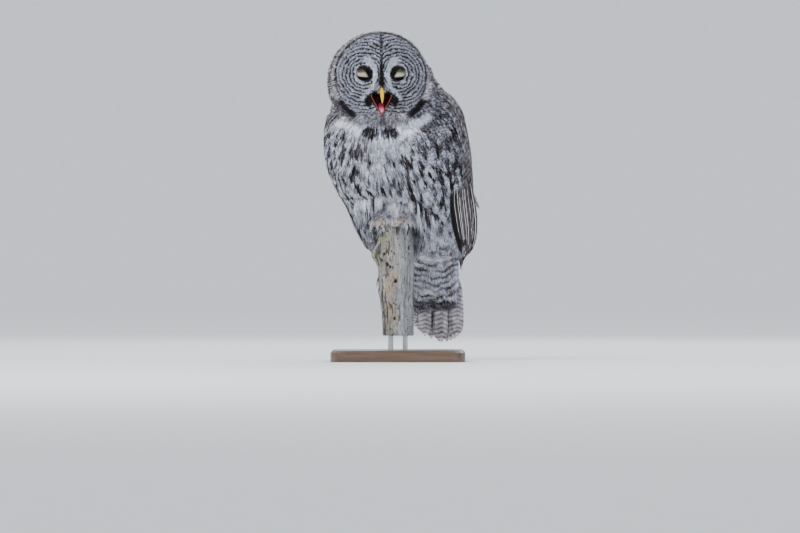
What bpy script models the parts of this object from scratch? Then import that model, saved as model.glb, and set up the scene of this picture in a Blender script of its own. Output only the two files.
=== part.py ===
"""Great grey owl, life size, perched on a cut length of dead stem that a plain stand carries.

Metres, +Z up. The origin is the middle of the base's underside, straight below the stem, and -Y is the
side that the face looks to. Body points are given as (forward, left, height) in a frame turned by
BODY_YAW, and head points as (right, forward, up) from the middle of the facial disc.
"""

import math

import bmesh
import bpy
import numpy as np
from mathutils import Vector

# Gap between touching pieces, and the wider one that a cut leaves
GAP = 0.0003
CUT_GAP = 1.3 * GAP

# Stand
BASE_SIDE = 0.260
BASE_THICK = 0.022
BASE_CORNER = 0.030
BASE_BEVEL = 0.004
ROD_RADIUS = 0.005
ROD_SPACING = 0.028
ROD_SIDES = 16
CORNER_STEPS = 4

# Stem that the owl grips
STEM_TOP = 0.270
STEM_FOOT = 0.050
STEM_SIDES = 20
# Sections of the stem: height, centre x, radius
STEM_PROFILE = [
    (STEM_FOOT, 0.0000, 0.0290),
    (0.0850, -0.0010, 0.0300),
    (0.1200, -0.0025, 0.0325),
    (0.1550, -0.0030, 0.0335),
    (0.1850, -0.0040, 0.0345),
    (0.2050, -0.0065, 0.0370),
    (0.2250, -0.0050, 0.0350),
    (STEM_TOP, -0.0050, 0.0340),
]
STEM_AXIS = STEM_PROFILE[-1][1]
# Heights of the rings of the stem's surface, closest round its knob
STEM_HEIGHTS = [STEM_FOOT, 0.085, 0.120, 0.155, 0.180, 0.194, 0.202, 0.210, 0.218, 0.230, 0.250, 0.265]
# How much smaller the worn top edge is
STEM_WEAR = 0.004
# Flutes down the wood: depth, number round the stem, and how far they turn from foot to top
STEM_FLUTES = [(0.0008, 5, 4.0), (0.0006, 9, -7.0)]
KNOB_RISE = 0.0085
KNOB_HEIGHT = 0.208
KNOB_HALF_HEIGHT = 0.012
KNOB_ANGLE = -1.45
KNOB_HALF_ANGLE = 0.35

# Body
BODY_YAW = math.radians(25)
# Profile of the torso from the tail's root up into the head:
# back forward, back height, front forward, front height, half width
TORSO_PROFILE = [
    (-0.168, 0.205, -0.105, 0.190, 0.068),
    (-0.161, 0.237, -0.046, 0.207, 0.105),
    (-0.154, 0.272, -0.014, 0.245, 0.121),
    (-0.147, 0.312, 0.036, 0.296, 0.127),
    (-0.138, 0.352, 0.076, 0.316, 0.130),
    (-0.125, 0.395, 0.110, 0.345, 0.136),
    (-0.108, 0.435, 0.128, 0.385, 0.139),
    (-0.092, 0.475, 0.134, 0.428, 0.136),
    (-0.078, 0.512, 0.124, 0.470, 0.127),
    (-0.059, 0.543, 0.104, 0.510, 0.110),
    (-0.041, 0.569, 0.078, 0.547, 0.081),
    (-0.024, 0.588, 0.058, 0.577, 0.054),
    (-0.004, 0.598, 0.030, 0.594, 0.022),
]
TORSO_SIDES = 30
TORSO_RINGS = 18
# Height of the whole torso, for points that run on below its end
TORSO_LENGTH = 0.400

# Head: middle of the facial disc, and the way that it looks
HEAD_YAW = math.radians(5)
HEAD_X = -0.037
HEAD_Y = -0.048
HEAD_Z = 0.5505
DISC_HALF_WIDTH = 0.085
DISC_HALF_HEIGHT = 0.0805
# Sections from the disc's rim to the back of the head: forward, half width, top, bottom
SKULL_SECTIONS = [
    (0.0500, 0.0850, 0.0805, -0.0805),
    (0.0370, 0.0930, 0.0850, -0.0900),
    (0.0120, 0.0995, 0.0855, -0.0990),
    (-0.0200, 0.0985, 0.0795, -0.1020),
    (-0.0500, 0.0890, 0.0680, -0.0980),
    (-0.0800, 0.0680, 0.0430, -0.0920),
]
# Last section, at the back of the head: forward, up, half width, half height
SKULL_BACK = (-0.100, -0.026, 0.030, 0.032)
# How far a point that stands off the head also moves forward
SKULL_FLARE = 0.3
# How full the cheeks are: less than 1 squares the lower half of each section
CHEEK_POWER = 0.80
HEAD_SECTORS = 40
# Rings of the disc, as shares of its size
DISC_RINGS = (0.14, 0.30, 0.46, 0.62, 0.76, 0.89, 1.0)

# Relief of the disc: a low dome, a dish round each eye, a ridge between the eyes, and the chin
DISC_DOME = 0.016
DISH_SIDE = 0.040
DISH_DEPTH = 0.011
DISH_SPREAD = 0.021
RIDGE_RISE = 0.007
RIDGE_HALF_WIDTH = 0.011
RIDGE_UP = 0.010
RIDGE_REACH = 0.035
CHIN_RISE = 0.018
CHIN_HALF_WIDTH = 0.024
CHIN_UP = -0.070
CHIN_REACH = 0.016

# Locks of the ruff: places on the head as sections back from the rim, how far they stand off, their
# half width as a share of their spacing, and how clear of the torso they stay
RUFF_LOCKS = 30
RUFF_ROOT = 0.35
RUFF_TIP = 2.30
RUFF_LIFT = (-0.003, 0.0014)
RUFF_OVERLAP = 0.74
RUFF_CLEAR = 0.006

# Cuts that part the head, the neck and the torso: forward, height and tilt of each plane
HEAD_CUT = (0.020, 0.492, math.radians(16))
NECK_CUT = (0.020, 0.462, math.radians(20))

# Eyes, in the head's frame
EYE_SIDE = 0.0330
EYE_UP = 0.0040
EYE_DEPTH = 0.0440
EYE_RADIUS = 0.0115
LID_THICK = 0.0010
LID_REST = EYE_RADIUS + 3 * GAP
SOCKET_RADIUS = EYE_RADIUS + LID_THICK + 6 * GAP
# Lids in degrees: half of their turn round the eye, and the edges of the upper and the lower one
LID_HALF_TURN = 78
UPPER_LID = (-17, 80)
LOWER_LID = (-76, -24)
LID_ROWS = 3
LID_COLUMNS = 7

# Bill
BILL_SIDES = 12
# Sections of the upper mandible from its root to its point: up, forward, half width, half depth
BILL_SECTIONS = [
    (-0.0150, 0.0540, 0.0055, 0.0070),
    (-0.0210, 0.0655, 0.0056, 0.0072),
    (-0.0275, 0.0740, 0.0052, 0.0066),
    (-0.0350, 0.0790, 0.0043, 0.0054),
    (-0.0430, 0.0812, 0.0029, 0.0037),
    (-0.0490, 0.0806, 0.0014, 0.0018),
    (-0.0515, 0.0797, 0.0005, 0.0006),
]
# How much narrower the ridge of the bill is than its cutting edges
BILL_RIDGE = 0.25
# Nostrils: middle of each pit as side, forward and up, and its radius
NOSTRIL = (0.0040, 0.0702, -0.0225)
NOSTRIL_RADIUS = 0.0011
GAPE_HALF_WIDTH = 0.0205
GAPE_UP = -0.0375
GAPE_FRONT = 0.0620
JAW_TIP_UP = -0.0750
JAW_FRONT = 0.0755
JAW_BACK = 0.0450
JAW_THICK = 0.0016
JAW_COLUMNS = 12
JAW_ROWS = 3
# How rounded the jaw's V is, and how fast its inner side rises from the outer one at the tip
JAW_ROUND = 1.2
JAW_SLOPE = 1.5
# The mouth's opening: its back and front, and its roof's height over the corners of the gape
MOUTH_BACK = JAW_BACK - 0.004
MOUTH_FRONT = 0.120
MOUTH_ROOF = 0.004
TONGUE_HALF_WIDTH = 0.0055
TONGUE_TIP = 0.0006
TONGUE_UP = -0.0560
TONGUE_FALL = 0.0095
TONGUE_BACK = JAW_BACK + 0.003
TONGUE_FLATNESS = 0.4
TONGUE_RINGS = 5
TONGUE_SIDES = 8

# Feathers in the solids: share of the length and of the half width at each row of one vane
COVERT_ROWS = [(0.0, 0.70), (0.40, 1.0), (0.80, 0.80), (1.0, 0.12)]
QUILL_ROWS = [(0.0, 0.60), (0.25, 0.90), (0.50, 1.0), (0.75, 0.95), (0.93, 0.55), (1.0, 0.10)]
VANE_THICK = 0.0006
VANE_SHINGLE = 0.0016
# Shares of a feather's length between which it rises from its root to its full height
LIFT_START = 0.12
LIFT_END = 0.50

# Wings, as shares of the torso's length and angles in degrees round it from the front
WING_TOP = 0.80
WING_FOOT = -0.06
WING_THICK = 0.0062
# The wing's inner face, off the torso by the gap and by how far flat facets fall inside a curve
WING_REST = 0.0025
WING_CORE_FOOT = 0.36
WING_CORE_ROWS = 7
WING_CORE_COLUMNS = 7
# Thickness of the arm's shell at its edges as a share, and how fast it grows from the sides and the top
WING_EDGE = 0.6
WING_EDGE_RISE = 6.0
WING_TOP_RISE = 2.0
# Half width of a vane as a share of the spacing in its tier
WING_OVERLAP = 0.75
# Front and rear edge at even steps from the wing's tip to the shoulder, and how much further back the
# right wing's front edge is, under the flank's feathers
WING_OUTLINE = [
    (100, 122, 0),
    (76, 140, 0),
    (60, 158, 0),
    (61, 167, 2),
    (67, 170, 8),
    (70, 168, 13),
    (70, 160, 16),
    (74, 150, 16),
    (96, 122, 6),
]
# Tiers of the wing from the innermost: roots and tips as shares of the torso's length, the part of the
# wing's breadth that they fill, and how far they stand off the torso at the root and beyond it
WING_TIERS = [
    {
        "rows": QUILL_ROWS, "count": 6, "across": (0.11, 0.62), "root": 0.42, "lift": (0.0024, 0.0042),
        "tip_at": (0.0, 0.35, 0.7, 1.0), "tips": (0.085, -0.030, -0.060, -0.020),
    },
    {
        "rows": QUILL_ROWS, "count": 5, "across": (0.44, 0.91), "root": 0.43, "lift": (0.0042, 0.0070),
        "tip_at": (0.0, 0.4, 1.0), "tips": (0.045, 0.060, 0.150),
    },
    {
        "rows": COVERT_ROWS, "count": 6, "across": (0.10, 0.90), "root": 0.54, "lift": (0.0034, 0.0096),
        "tip_at": (0.0, 0.5, 1.0), "tips": (0.310, 0.290, 0.330),
    },
    {
        "rows": COVERT_ROWS, "count": 6, "across": (0.10, 0.90), "root": 0.67, "lift": (0.0032, 0.0092),
        "tip_at": (0.0, 0.5, 1.0), "tips": (0.480, 0.470, 0.490),
    },
    {
        "rows": COVERT_ROWS, "count": 5, "across": (0.13, 0.87), "root": 0.77, "lift": (0.0014, 0.0086),
        "tip_at": (0.0, 0.5, 1.0), "tips": (0.620, 0.600, 0.610),
    },
]

# Tail
TAIL_TIP = 0.036
TAIL_ROUNDING = 9.0
TAIL_SKEW = 0.018
TAIL_SIDES = 16
TAIL_CORE_TOP = TORSO_PROFILE[0][1] - GAP
TAIL_CORE_FOOT = 0.095
TAIL_CORE_RINGS = 4
# Sections down the core: back forward, front forward, half width, fall from back to front
TAIL_CORE = [
    (-0.1675, -0.1070, 0.0670, 0.0150),
    (-0.1690, -0.1230, 0.0645, 0.0120),
    (-0.1690, -0.1420, 0.0600, 0.0060),
    (-0.1655, -0.1580, 0.0500, 0.0010),
]
# The six pairs of long feathers: how far back the middle pair lies, the step from one feather to the
# next, how the sides curve forward, the distance of the first from the middle and between them
TAIL_PAIRS = 6
TAIL_BACK = -0.1725
TAIL_LAYER = 0.0012
TAIL_TILT = 0.3
TAIL_CURVE = 0.9
TAIL_FIRST = 0.0090
TAIL_STEP = 0.0090
TAIL_ROOT = 0.125
TAIL_ROOT_SINK = 0.010
TAIL_FEATHER_HALF_WIDTH = 0.0145
TAIL_OVERLAP = 0.72
# Coverts: angles in degrees round the core from the front, height of roots and tips, and how much
# higher the outer tips are
TAIL_TIERS = [
    {"count": 5, "angles": (-72, 72), "root": 0.135, "tip": 0.070, "drop": 0.018, "lift": (-0.003, 0.0012)},
    {"count": 4, "angles": (-60, 60), "root": 0.170, "tip": 0.106, "drop": 0.012, "lift": (-0.003, 0.0030)},
    {"count": 3, "angles": (-40, 40), "root": 0.200, "tip": 0.142, "drop": 0.008, "lift": (-0.003, 0.0030)},
    {"count": 4, "angles": (140, 220), "root": 0.190, "tip": 0.112, "drop": 0.006, "lift": (-0.003, 0.0012)},
]

# Room in the belly's feathers for the stem and the feet
ROOM_RADIUS = 0.0540
ROOM_FOOT = 0.100
ROOM_TOP = 0.3105
ROOM_SIDES = 24

# Feet. Middle of each: forward, to the side, and over the stem's top
HEEL = (0.010, 0.019, 0.0180)
# Ways that the toes point, in degrees from the face's side towards the bird's left
TOES = {"right": (-66, -38, -98, -136), "left": (4, 34, 68, 104)}
# The pad and the shin above it: height from the heel, radius
PAD = [(-0.0160, 0.0130), (-0.0060, 0.0180), (0.0080, 0.0180), (0.0180, 0.0120)]
SHIN = [(0.0180 + GAP, 0.0120), (0.0260, 0.0165), (0.0400, 0.0178), (0.0560, 0.0150)]
LEG_SIDES = 12
# A toe over the stem's rim: distance from the stem's middle, height over its top, radius
TOE_PATH = [
    (0.0270, 0.0160, 0.0118),
    (0.0310, 0.0140, 0.0112),
    (0.0385, 0.0070, 0.0100),
    (0.0415, -0.0060, 0.0062),
]
TOE_ROOT_RADIUS = 0.0110
# Share of the way from the heel at which the toe's own path begins
TOE_LEAVES = 0.6
TOE_SIDES = 8
# A claw, as a toe
CLAW_PATH = [
    (0.0425, -0.0020, 0.0028),
    (0.0432, -0.0090, 0.0028),
    (0.0430, -0.0160, 0.0023),
    (0.0410, -0.0230, 0.0014),
    (0.0385, -0.0275, 0.0005),
]
CLAW_SIDES = 6


def clear_scene():
    for obj in list(bpy.data.objects):
        bpy.data.objects.remove(obj, do_unlink=True)


def material(name, colour, roughness, metallic=0.0):
    made = bpy.data.materials.new(name)
    made.use_nodes = True
    shader = made.node_tree.nodes["Principled BSDF"]
    shader.inputs["Base Color"].default_value = (*colour, 1.0)
    shader.inputs["Roughness"].default_value = roughness
    shader.inputs["Metallic"].default_value = metallic
    return made


def body_point(forward, left, height):
    """A point of the body's turned frame in the world."""
    sine = math.sin(BODY_YAW)
    cosine = math.cos(BODY_YAW)
    return Vector((-sine * forward + cosine * left, -cosine * forward - sine * left, height))


def head_point(right, forward, up):
    """A point of the head's turned frame in the world."""
    sine = math.sin(HEAD_YAW)
    cosine = math.cos(HEAD_YAW)
    x = HEAD_X + cosine * right + sine * forward
    y = HEAD_Y + sine * right - cosine * forward
    return Vector((x, y, HEAD_Z + up))


def blend_rows(rows, share):
    """The row at a share from 0 to 1 along a table, on a smooth curve through its rows."""
    table = np.array(rows, float)
    place = min(max(share, 0.0), 1.0) * (len(table) - 1)
    first = min(int(place), len(table) - 2)
    part = place - first
    before = table[max(first - 1, 0)]
    start = table[first]
    end = table[first + 1]
    after = table[min(first + 2, len(table) - 1)]
    slope_in = (end - before) / 2
    slope_out = (after - start) / 2
    square = part * part
    cube = square * part
    return (
        (2 * cube - 3 * square + 1) * start
        + (cube - 2 * square + part) * slope_in
        + (3 * square - 2 * cube) * end
        + (cube - square) * slope_out
    )


def lift_at(along, lift):
    """How far a feather stands off at a share of its length: it leaves its root and then lies flat."""
    low, high = lift
    part = min(max((along - LIFT_START) / (LIFT_END - LIFT_START), 0.0), 1.0)
    return low + (high - low) * part * part * (3 - 2 * part)


def shingle(across):
    """How much one edge of a feather, at across -1, lies over the other, at 1."""
    return VANE_SHINGLE * (1 - across) / 2


def new_object(name, points, faces, skin):
    mesh = bpy.data.meshes.new(name)
    mesh.from_pydata([tuple(p) for p in points], [], faces)
    built = bmesh.new()
    built.from_mesh(mesh)
    bmesh.ops.recalc_face_normals(built, faces=built.faces)
    if built.calc_volume(signed=True) < 0:
        bmesh.ops.reverse_faces(built, faces=built.faces)
    built.to_mesh(mesh)
    built.free()
    mesh.materials.append(skin)
    mesh.shade_smooth()
    obj = bpy.data.objects.new(name, mesh)
    bpy.context.scene.collection.objects.link(obj)
    return obj


def loft(name, rings, skin):
    """A closed solid through rings of points, with a fan of triangles at each end."""
    count = len(rings[0])
    points = [p for ring in rings for p in ring]
    faces = []
    for i in range(len(rings) - 1):
        for j in range(count):
            k = (j + 1) % count
            faces.append((i * count + j, i * count + k, (i + 1) * count + k, (i + 1) * count + j))
    for i in (0, len(rings) - 1):
        middle = sum(rings[i], Vector((0, 0, 0))) / count
        points.append(middle)
        for j in range(count):
            faces.append((i * count + j, i * count + (j + 1) % count, len(points) - 1))
    return new_object(name, points, faces, skin)


def slab(name, outer, inner, skin):
    """A closed solid between two grids of points of one layout, split into triangles alike on both."""
    rows = len(outer)
    columns = len(outer[0])
    size = rows * columns
    points = [p for row in outer for p in row] + [p for row in inner for p in row]
    faces = []
    for i in range(rows - 1):
        for j in range(columns - 1):
            a = i * columns + j
            b = a + 1
            c = a + columns + 1
            d = a + columns
            faces += [(a, b, c), (a, c, d), (size + c, size + b, size + a), (size + d, size + c, size + a)]
    ring = list(range(columns))
    ring += [i * columns + columns - 1 for i in range(1, rows)]
    ring += [(rows - 1) * columns + j for j in range(columns - 2, -1, -1)]
    ring += [i * columns for i in range(rows - 2, 0, -1)]
    for a, b in zip(ring, ring[1:] + ring[:1]):
        faces += [(b, a, size + a), (b, size + a, size + b)]
    return new_object(name, points, faces, skin)


def tube(name, path, radii, sides, skin):
    """A tapered tube along points."""
    rings = []
    across = None
    for i, centre in enumerate(path):
        ahead = (path[min(i + 1, len(path) - 1)] - path[max(i - 1, 0)]).normalized()
        if across is None:
            across = ahead.orthogonal()
        across = (across - ahead * across.dot(ahead)).normalized()
        other = ahead.cross(across)
        ring = []
        for j in range(sides):
            angle = 2 * math.pi * j / sides
            way = across * math.cos(angle) + other * math.sin(angle)
            ring.append(centre + way * radii[i])
        rings.append(ring)
    return loft(name, rings, skin)


def ball(name, centre, radius, skin, segments=14, rings=9):
    """A ball about a point of the head's frame."""
    built = bmesh.new()
    bmesh.ops.create_uvsphere(built, u_segments=segments, v_segments=rings, radius=radius)
    points = [head_point(*(Vector(centre) + vertex.co)) for vertex in built.verts]
    faces = [tuple(v.index for v in face.verts) for face in built.faces]
    built.free()
    return new_object(name, points, faces, skin)


def apply_modifiers(obj):
    graph = bpy.context.evaluated_depsgraph_get()
    mesh = bpy.data.meshes.new_from_object(obj.evaluated_get(graph))
    obj.modifiers.clear()
    obj.data = mesh


def combine(obj, other, operation):
    """Applies one Boolean of obj with another object, which is then removed."""
    change = obj.modifiers.new("boolean", "BOOLEAN")
    change.operation = operation
    change.object = other
    change.solver = "EXACT"
    apply_modifiers(obj)
    bpy.data.objects.remove(other)
    keep_largest(obj)


def keep_largest(obj):
    """Keeps only the largest closed surface of a mesh, going from face to face over its plain edges."""
    built = bmesh.new()
    built.from_mesh(obj.data)
    unseen = set(built.faces)
    groups = []
    while unseen:
        front = [unseen.pop()]
        group = list(front)
        while front:
            for edge in front.pop().edges:
                if len(edge.link_faces) != 2:
                    continue
                for face in edge.link_faces:
                    if face in unseen:
                        unseen.discard(face)
                        group.append(face)
                        front.append(face)
        groups.append(group)
    groups.sort(key=len)
    for group in groups[:-1]:
        bmesh.ops.delete(built, geom=group, context="FACES")
    built.to_mesh(obj.data)
    built.free()


def grown(obj, by):
    """A hidden copy of an object, moved out along its normals."""
    copy = obj.copy()
    copy.data = obj.data.copy()
    bpy.context.scene.collection.objects.link(copy)
    built = bmesh.new()
    built.from_mesh(copy.data)
    built.normal_update()
    moves = [vertex.normal * by * vertex.calc_shell_factor() for vertex in built.verts]
    for vertex, move in zip(built.verts, moves):
        vertex.co += move
    built.to_mesh(copy.data)
    built.free()
    return copy


def cut_by(obj, *others):
    """Cuts a piece back from its neighbours, with a little more than the gap that meshes keep."""
    for other in others:
        combine(obj, grown(other, CUT_GAP), "DIFFERENCE")


def halves(obj, cut, upper_name):
    """Parts a closed body by a plane across the body's frame. obj keeps the lower half."""
    forward, height, tilt = cut
    point = body_point(forward, 0, height)
    normal = body_point(math.sin(tilt), 0, math.cos(tilt))
    upper = obj.copy()
    upper.data = obj.data.copy()
    upper.name = upper_name
    bpy.context.scene.collection.objects.link(upper)
    for half, side in ((obj, -1), (upper, 1)):
        built = bmesh.new()
        built.from_mesh(half.data)
        everything = built.verts[:] + built.edges[:] + built.faces[:]
        made = bmesh.ops.bisect_plane(
            built,
            geom=everything,
            plane_co=point + normal * (side * GAP / 2),
            plane_no=normal,
            clear_outer=side < 0,
            clear_inner=side > 0,
        )
        rim = [e for e in made["geom_cut"] if isinstance(e, bmesh.types.BMEdge)]
        bmesh.ops.holes_fill(built, edges=rim)
        bmesh.ops.triangulate(built, faces=[f for f in built.faces if len(f.verts) > 4])
        bmesh.ops.recalc_face_normals(built, faces=built.faces)
        built.to_mesh(half.data)
        built.free()
    return upper


def torso_point(share, angle, out=0.0):
    """A point round the torso: share along it from the tail, angle from the front towards the left."""

    def plain(share, angle):
        back_f, back_z, front_f, front_z, width = blend_rows(TORSO_PROFILE, share)
        middle = body_point((back_f + front_f) / 2, 0, (back_z + front_z) / 2)
        reach = body_point((front_f - back_f) / 2, 0, (front_z - back_z) / 2)
        return middle + reach * math.cos(angle) + body_point(0, width, 0) * math.sin(angle)

    point = plain(share, angle) + Vector((0, 0, min(share, 0.0) * TORSO_LENGTH))
    if out == 0.0:
        return point
    share = max(share, 0.0)
    step = 0.01
    along = plain(share + step, angle) - plain(share - step, angle)
    round_it = plain(share, angle + step) - plain(share, angle - step)
    normal = along.cross(round_it).normalized()
    if normal.dot(point - plain(share, angle + math.pi)) < 0:
        normal.negate()
    return point + normal * out


def torso_solid(feathers):
    rings = []
    for i in range(TORSO_RINGS + 1):
        share = i / TORSO_RINGS
        rings.append(
            [torso_point(share, 2 * math.pi * j / TORSO_SIDES) for j in range(TORSO_SIDES)]
        )
    return loft("torso", rings, feathers)


def rise(right, up, middle, half_width, reach):
    """A rounded rise of height 1 about a point of the face's midline."""
    return math.exp(-((right / half_width) ** 2) - ((up - middle) / reach) ** 2)


def face_depth(right, up):
    """How far forward the facial disc's surface lies: a low dome with a dish round each eye, a ridge
    between the eyes and the chin that the open jaw pushes out."""
    out = (right / DISC_HALF_WIDTH) ** 2 + (up / DISC_HALF_HEIGHT) ** 2
    depth = SKULL_SECTIONS[0][0] + DISC_DOME * (1 - min(out, 1.0))
    for side in (-1, 1):
        away = (right - side * DISH_SIDE) ** 2 + (up - EYE_UP) ** 2
        depth -= DISH_DEPTH * math.exp(-away / (2 * DISH_SPREAD**2))
    depth += RIDGE_RISE * rise(right, up, RIDGE_UP, RIDGE_HALF_WIDTH, RIDGE_REACH)
    depth += CHIN_RISE * rise(right, up, CHIN_UP, CHIN_HALF_WIDTH, CHIN_REACH)
    return depth


def skull_point(place, angle, out=0.0):
    """A point round the head: place counts sections back from the rim, angle runs from the crown."""
    forward, width, top, bottom = blend_rows(SKULL_SECTIONS, place / (len(SKULL_SECTIONS) - 1))
    width += out
    full = 1.0 if math.cos(angle) > 0 else CHEEK_POWER + (1 - CHEEK_POWER) * max(0.0, 1 - place)
    across = math.copysign(abs(math.sin(angle)) ** full, math.sin(angle))
    up = (top + bottom) / 2 + ((top - bottom) / 2 + out) * math.cos(angle)
    return head_point(width * across, forward + out * SKULL_FLARE, up)


def head_solid(feathers):
    angles = [2 * math.pi * j / HEAD_SECTORS for j in range(HEAD_SECTORS)]
    rings = []
    for share in DISC_RINGS:
        ring = []
        for angle in angles:
            right = share * DISC_HALF_WIDTH * math.sin(angle)
            up = share * DISC_HALF_HEIGHT * math.cos(angle)
            ring.append(head_point(right, face_depth(right, up), up))
        rings.append(ring)
    for number in range(1, len(SKULL_SECTIONS)):
        rings.append([skull_point(number, angle) for angle in angles])
    forward, up, width, height = SKULL_BACK
    rings.append(
        [head_point(width * math.sin(angle), forward, up + height * math.cos(angle)) for angle in angles]
    )
    return loft("head", rings, feathers)


def in_torso(point, margin):
    """Whether a point is inside one of the torso's sections at about its height, or near one."""
    sections = 40
    sides = 24
    near = 2 * TORSO_LENGTH / sections
    for i in range(sections + 1):
        share = i / sections
        middle = (torso_point(share, 0.0) + torso_point(share, math.pi)) / 2
        if abs(middle.z - point.z) > near:
            continue
        for j in range(sides):
            across = torso_point(share, 2 * math.pi * j / sides) - middle
            if (point - middle).dot(across.normalized()) > across.length + margin:
                break
        else:
            return True
    return False


def ruff(head, feathers):
    """Flat tapered locks that stand round the rim of the facial disc and lie back over the head."""
    locks = []
    for number in range(RUFF_LOCKS):
        middle = 2 * math.pi * (number + 0.5) / RUFF_LOCKS
        if in_torso(skull_point(RUFF_TIP, middle), RUFF_CLEAR):
            continue

        def place(along, sideways, across, share, depth):
            stands = lift_at(share, RUFF_LIFT) + shingle(across)
            return skull_point(along, middle + sideways, stands - depth)

        half = RUFF_OVERLAP * 2 * math.pi / RUFF_LOCKS
        locks.append(vane(COVERT_ROWS, place, RUFF_ROOT, RUFF_TIP, half, feathers))
    fuse(head, locks)


def lid(name, side, edges, skin):
    """A shell over one eye between two latitudes, in degrees from the level of its middle."""
    grids = []
    for radius in (LID_REST + LID_THICK, LID_REST):
        rows = []
        for i in range(LID_ROWS + 1):
            tilt = math.radians(edges[0] + (edges[1] - edges[0]) * i / LID_ROWS)
            row = []
            for j in range(LID_COLUMNS + 1):
                turn = math.radians(LID_HALF_TURN * (2 * j / LID_COLUMNS - 1))
                right = side * EYE_SIDE + radius * math.sin(turn) * math.cos(tilt)
                forward = EYE_DEPTH + radius * math.cos(turn) * math.cos(tilt)
                row.append(head_point(right, forward, EYE_UP + radius * math.sin(tilt)))
            rows.append(row)
        grids.append(rows)
    return slab(name, *grids, skin)


def eyes(head, eye_skin, lid_skin):
    """Eyeballs in sockets, under lids that are shut but for a slit."""
    for side, name in ((-1, "right"), (1, "left")):
        centre = (side * EYE_SIDE, EYE_DEPTH, EYE_UP)
        combine(head, ball("socket", centre, SOCKET_RADIUS, lid_skin), "DIFFERENCE")
        ball(f"eye_{name}", centre, EYE_RADIUS, eye_skin)
        lid(f"eyelid_{name}_upper", side, UPPER_LID, lid_skin)
        lid(f"eyelid_{name}_lower", side, LOWER_LID, lid_skin)


def upper_bill(skin):
    """The hooked upper mandible, from its root in the face round to its point, with its nostrils."""
    rings = []
    for i, (up, forward, width, depth) in enumerate(BILL_SECTIONS):
        before = BILL_SECTIONS[max(i - 1, 0)]
        after = BILL_SECTIONS[min(i + 1, len(BILL_SECTIONS) - 1)]
        way = Vector((0, after[1] - before[1], after[0] - before[0])).normalized()
        normal = Vector((0, -way.z, way.y))
        ring = []
        for j in range(BILL_SIDES):
            angle = 2 * math.pi * j / BILL_SIDES
            side = width * math.sin(angle) * (1 - BILL_RIDGE * math.cos(angle))
            off = normal * (depth * math.cos(angle))
            ring.append(head_point(side, forward + off.y, up + off.z))
        rings.append(ring)
    made = loft("bill_upper", rings, skin)
    side, forward, up = NOSTRIL
    for way in (-1, 1):
        pit = ball("nostril", (way * side, forward, up), NOSTRIL_RADIUS, skin, 6, 4)
        combine(made, pit, "DIFFERENCE")
    return made


def gape_point(across, inset, forward):
    """A point of the open jaw's rim, which is a V from one corner of the gape to the tip and back."""
    width = GAPE_HALF_WIDTH - inset
    depth = (JAW_TIP_UP + inset * JAW_SLOPE - GAPE_UP) * (1 - abs(across) ** JAW_ROUND)
    return head_point(width * across, forward, GAPE_UP + depth)


def lower_bill(skin):
    """The lower mandible: a trough that is open at the front and above."""
    grids = []
    for inset in (0.0, JAW_THICK):
        rows = []
        for i in range(JAW_ROWS + 1):
            row = []
            for j in range(JAW_COLUMNS + 1):
                across = 2 * j / JAW_COLUMNS - 1
                front = JAW_FRONT - (JAW_FRONT - GAPE_FRONT) * abs(across)
                row.append(gape_point(across, inset, JAW_BACK + (front - JAW_BACK) * i / JAW_ROWS))
            rows.append(row)
        grids.append(rows)
    return slab("bill_lower", *grids, skin)


def tongue(skin):
    """A tapered tongue on the floor of the jaw, with its tip raised."""
    rings = []
    for i in range(TONGUE_RINGS + 1):
        share = i / TONGUE_RINGS
        width = TONGUE_HALF_WIDTH * (1 - share**3) + TONGUE_TIP
        up = TONGUE_UP - TONGUE_FALL * share**0.8
        forward = TONGUE_BACK + (JAW_FRONT - TONGUE_BACK) * share
        ring = []
        for j in range(TONGUE_SIDES):
            angle = 2 * math.pi * j / TONGUE_SIDES
            height = TONGUE_FLATNESS * width * math.cos(angle)
            ring.append(head_point(width * math.sin(angle), forward, up + height))
        rings.append(ring)
    return loft("tongue", rings, skin)


def mouth(head, bill_skin, tongue_skin):
    """The bill, the jaw and the tongue, in an opening of the jaw's own outline."""
    rings = []
    roof = GAPE_UP + MOUTH_ROOF
    for forward in (MOUTH_BACK, MOUTH_FRONT):
        ring = [gape_point(2 * j / JAW_COLUMNS - 1, -GAP, forward) for j in range(JAW_COLUMNS + 1)]
        ring += [head_point(GAPE_HALF_WIDTH * right, forward, roof) for right in (0.7, 0.0, -0.7)]
        rings.append(ring)
    combine(head, loft("opening", rings, tongue_skin), "DIFFERENCE")
    upper = upper_bill(bill_skin)
    lower_bill(bill_skin)
    tongue(tongue_skin)
    cut_by(head, upper)


def fuse(obj, pieces):
    """Joins closed pieces to obj in one Boolean union, and removes them."""
    group = bpy.data.collections.new("pieces")
    for piece in pieces:
        bpy.context.scene.collection.objects.unlink(piece)
        group.objects.link(piece)
    change = obj.modifiers.new("union", "BOOLEAN")
    change.operation = "UNION"
    change.operand_type = "COLLECTION"
    change.collection = group
    change.solver = "EXACT"
    apply_modifiers(obj)
    for piece in pieces:
        bpy.data.objects.remove(piece)
    bpy.data.collections.remove(group)
    keep_largest(obj)


def vane(rows, place, root, tip, width, skin):
    """One feather: a thin slab whose points come from place(along, across, depth), with along from
    root to tip, across from -width to width, and depth 0 on its outer face and 1 on its inner one."""
    grids = []
    for depth in (0.0, VANE_THICK):
        grid = []
        for share, narrow in rows:
            along = root + (tip - root) * share
            grid.append([place(along, a * width, a, share, depth) for a in (-narrow, 0.0, narrow)])
        grids.append(grid)
    return slab("vane", *grids, skin)


def wing_point(side, share, across, out):
    """A point of the folded wing: across runs from 0 at its front edge to 1 at its rear edge."""
    place = (share - WING_FOOT) / (WING_TOP - WING_FOOT)
    front, rear, tuck = blend_rows(WING_OUTLINE, place)
    if side < 0:
        front += tuck
    return torso_point(share, side * math.radians(front + (rear - front) * across), out)


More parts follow.
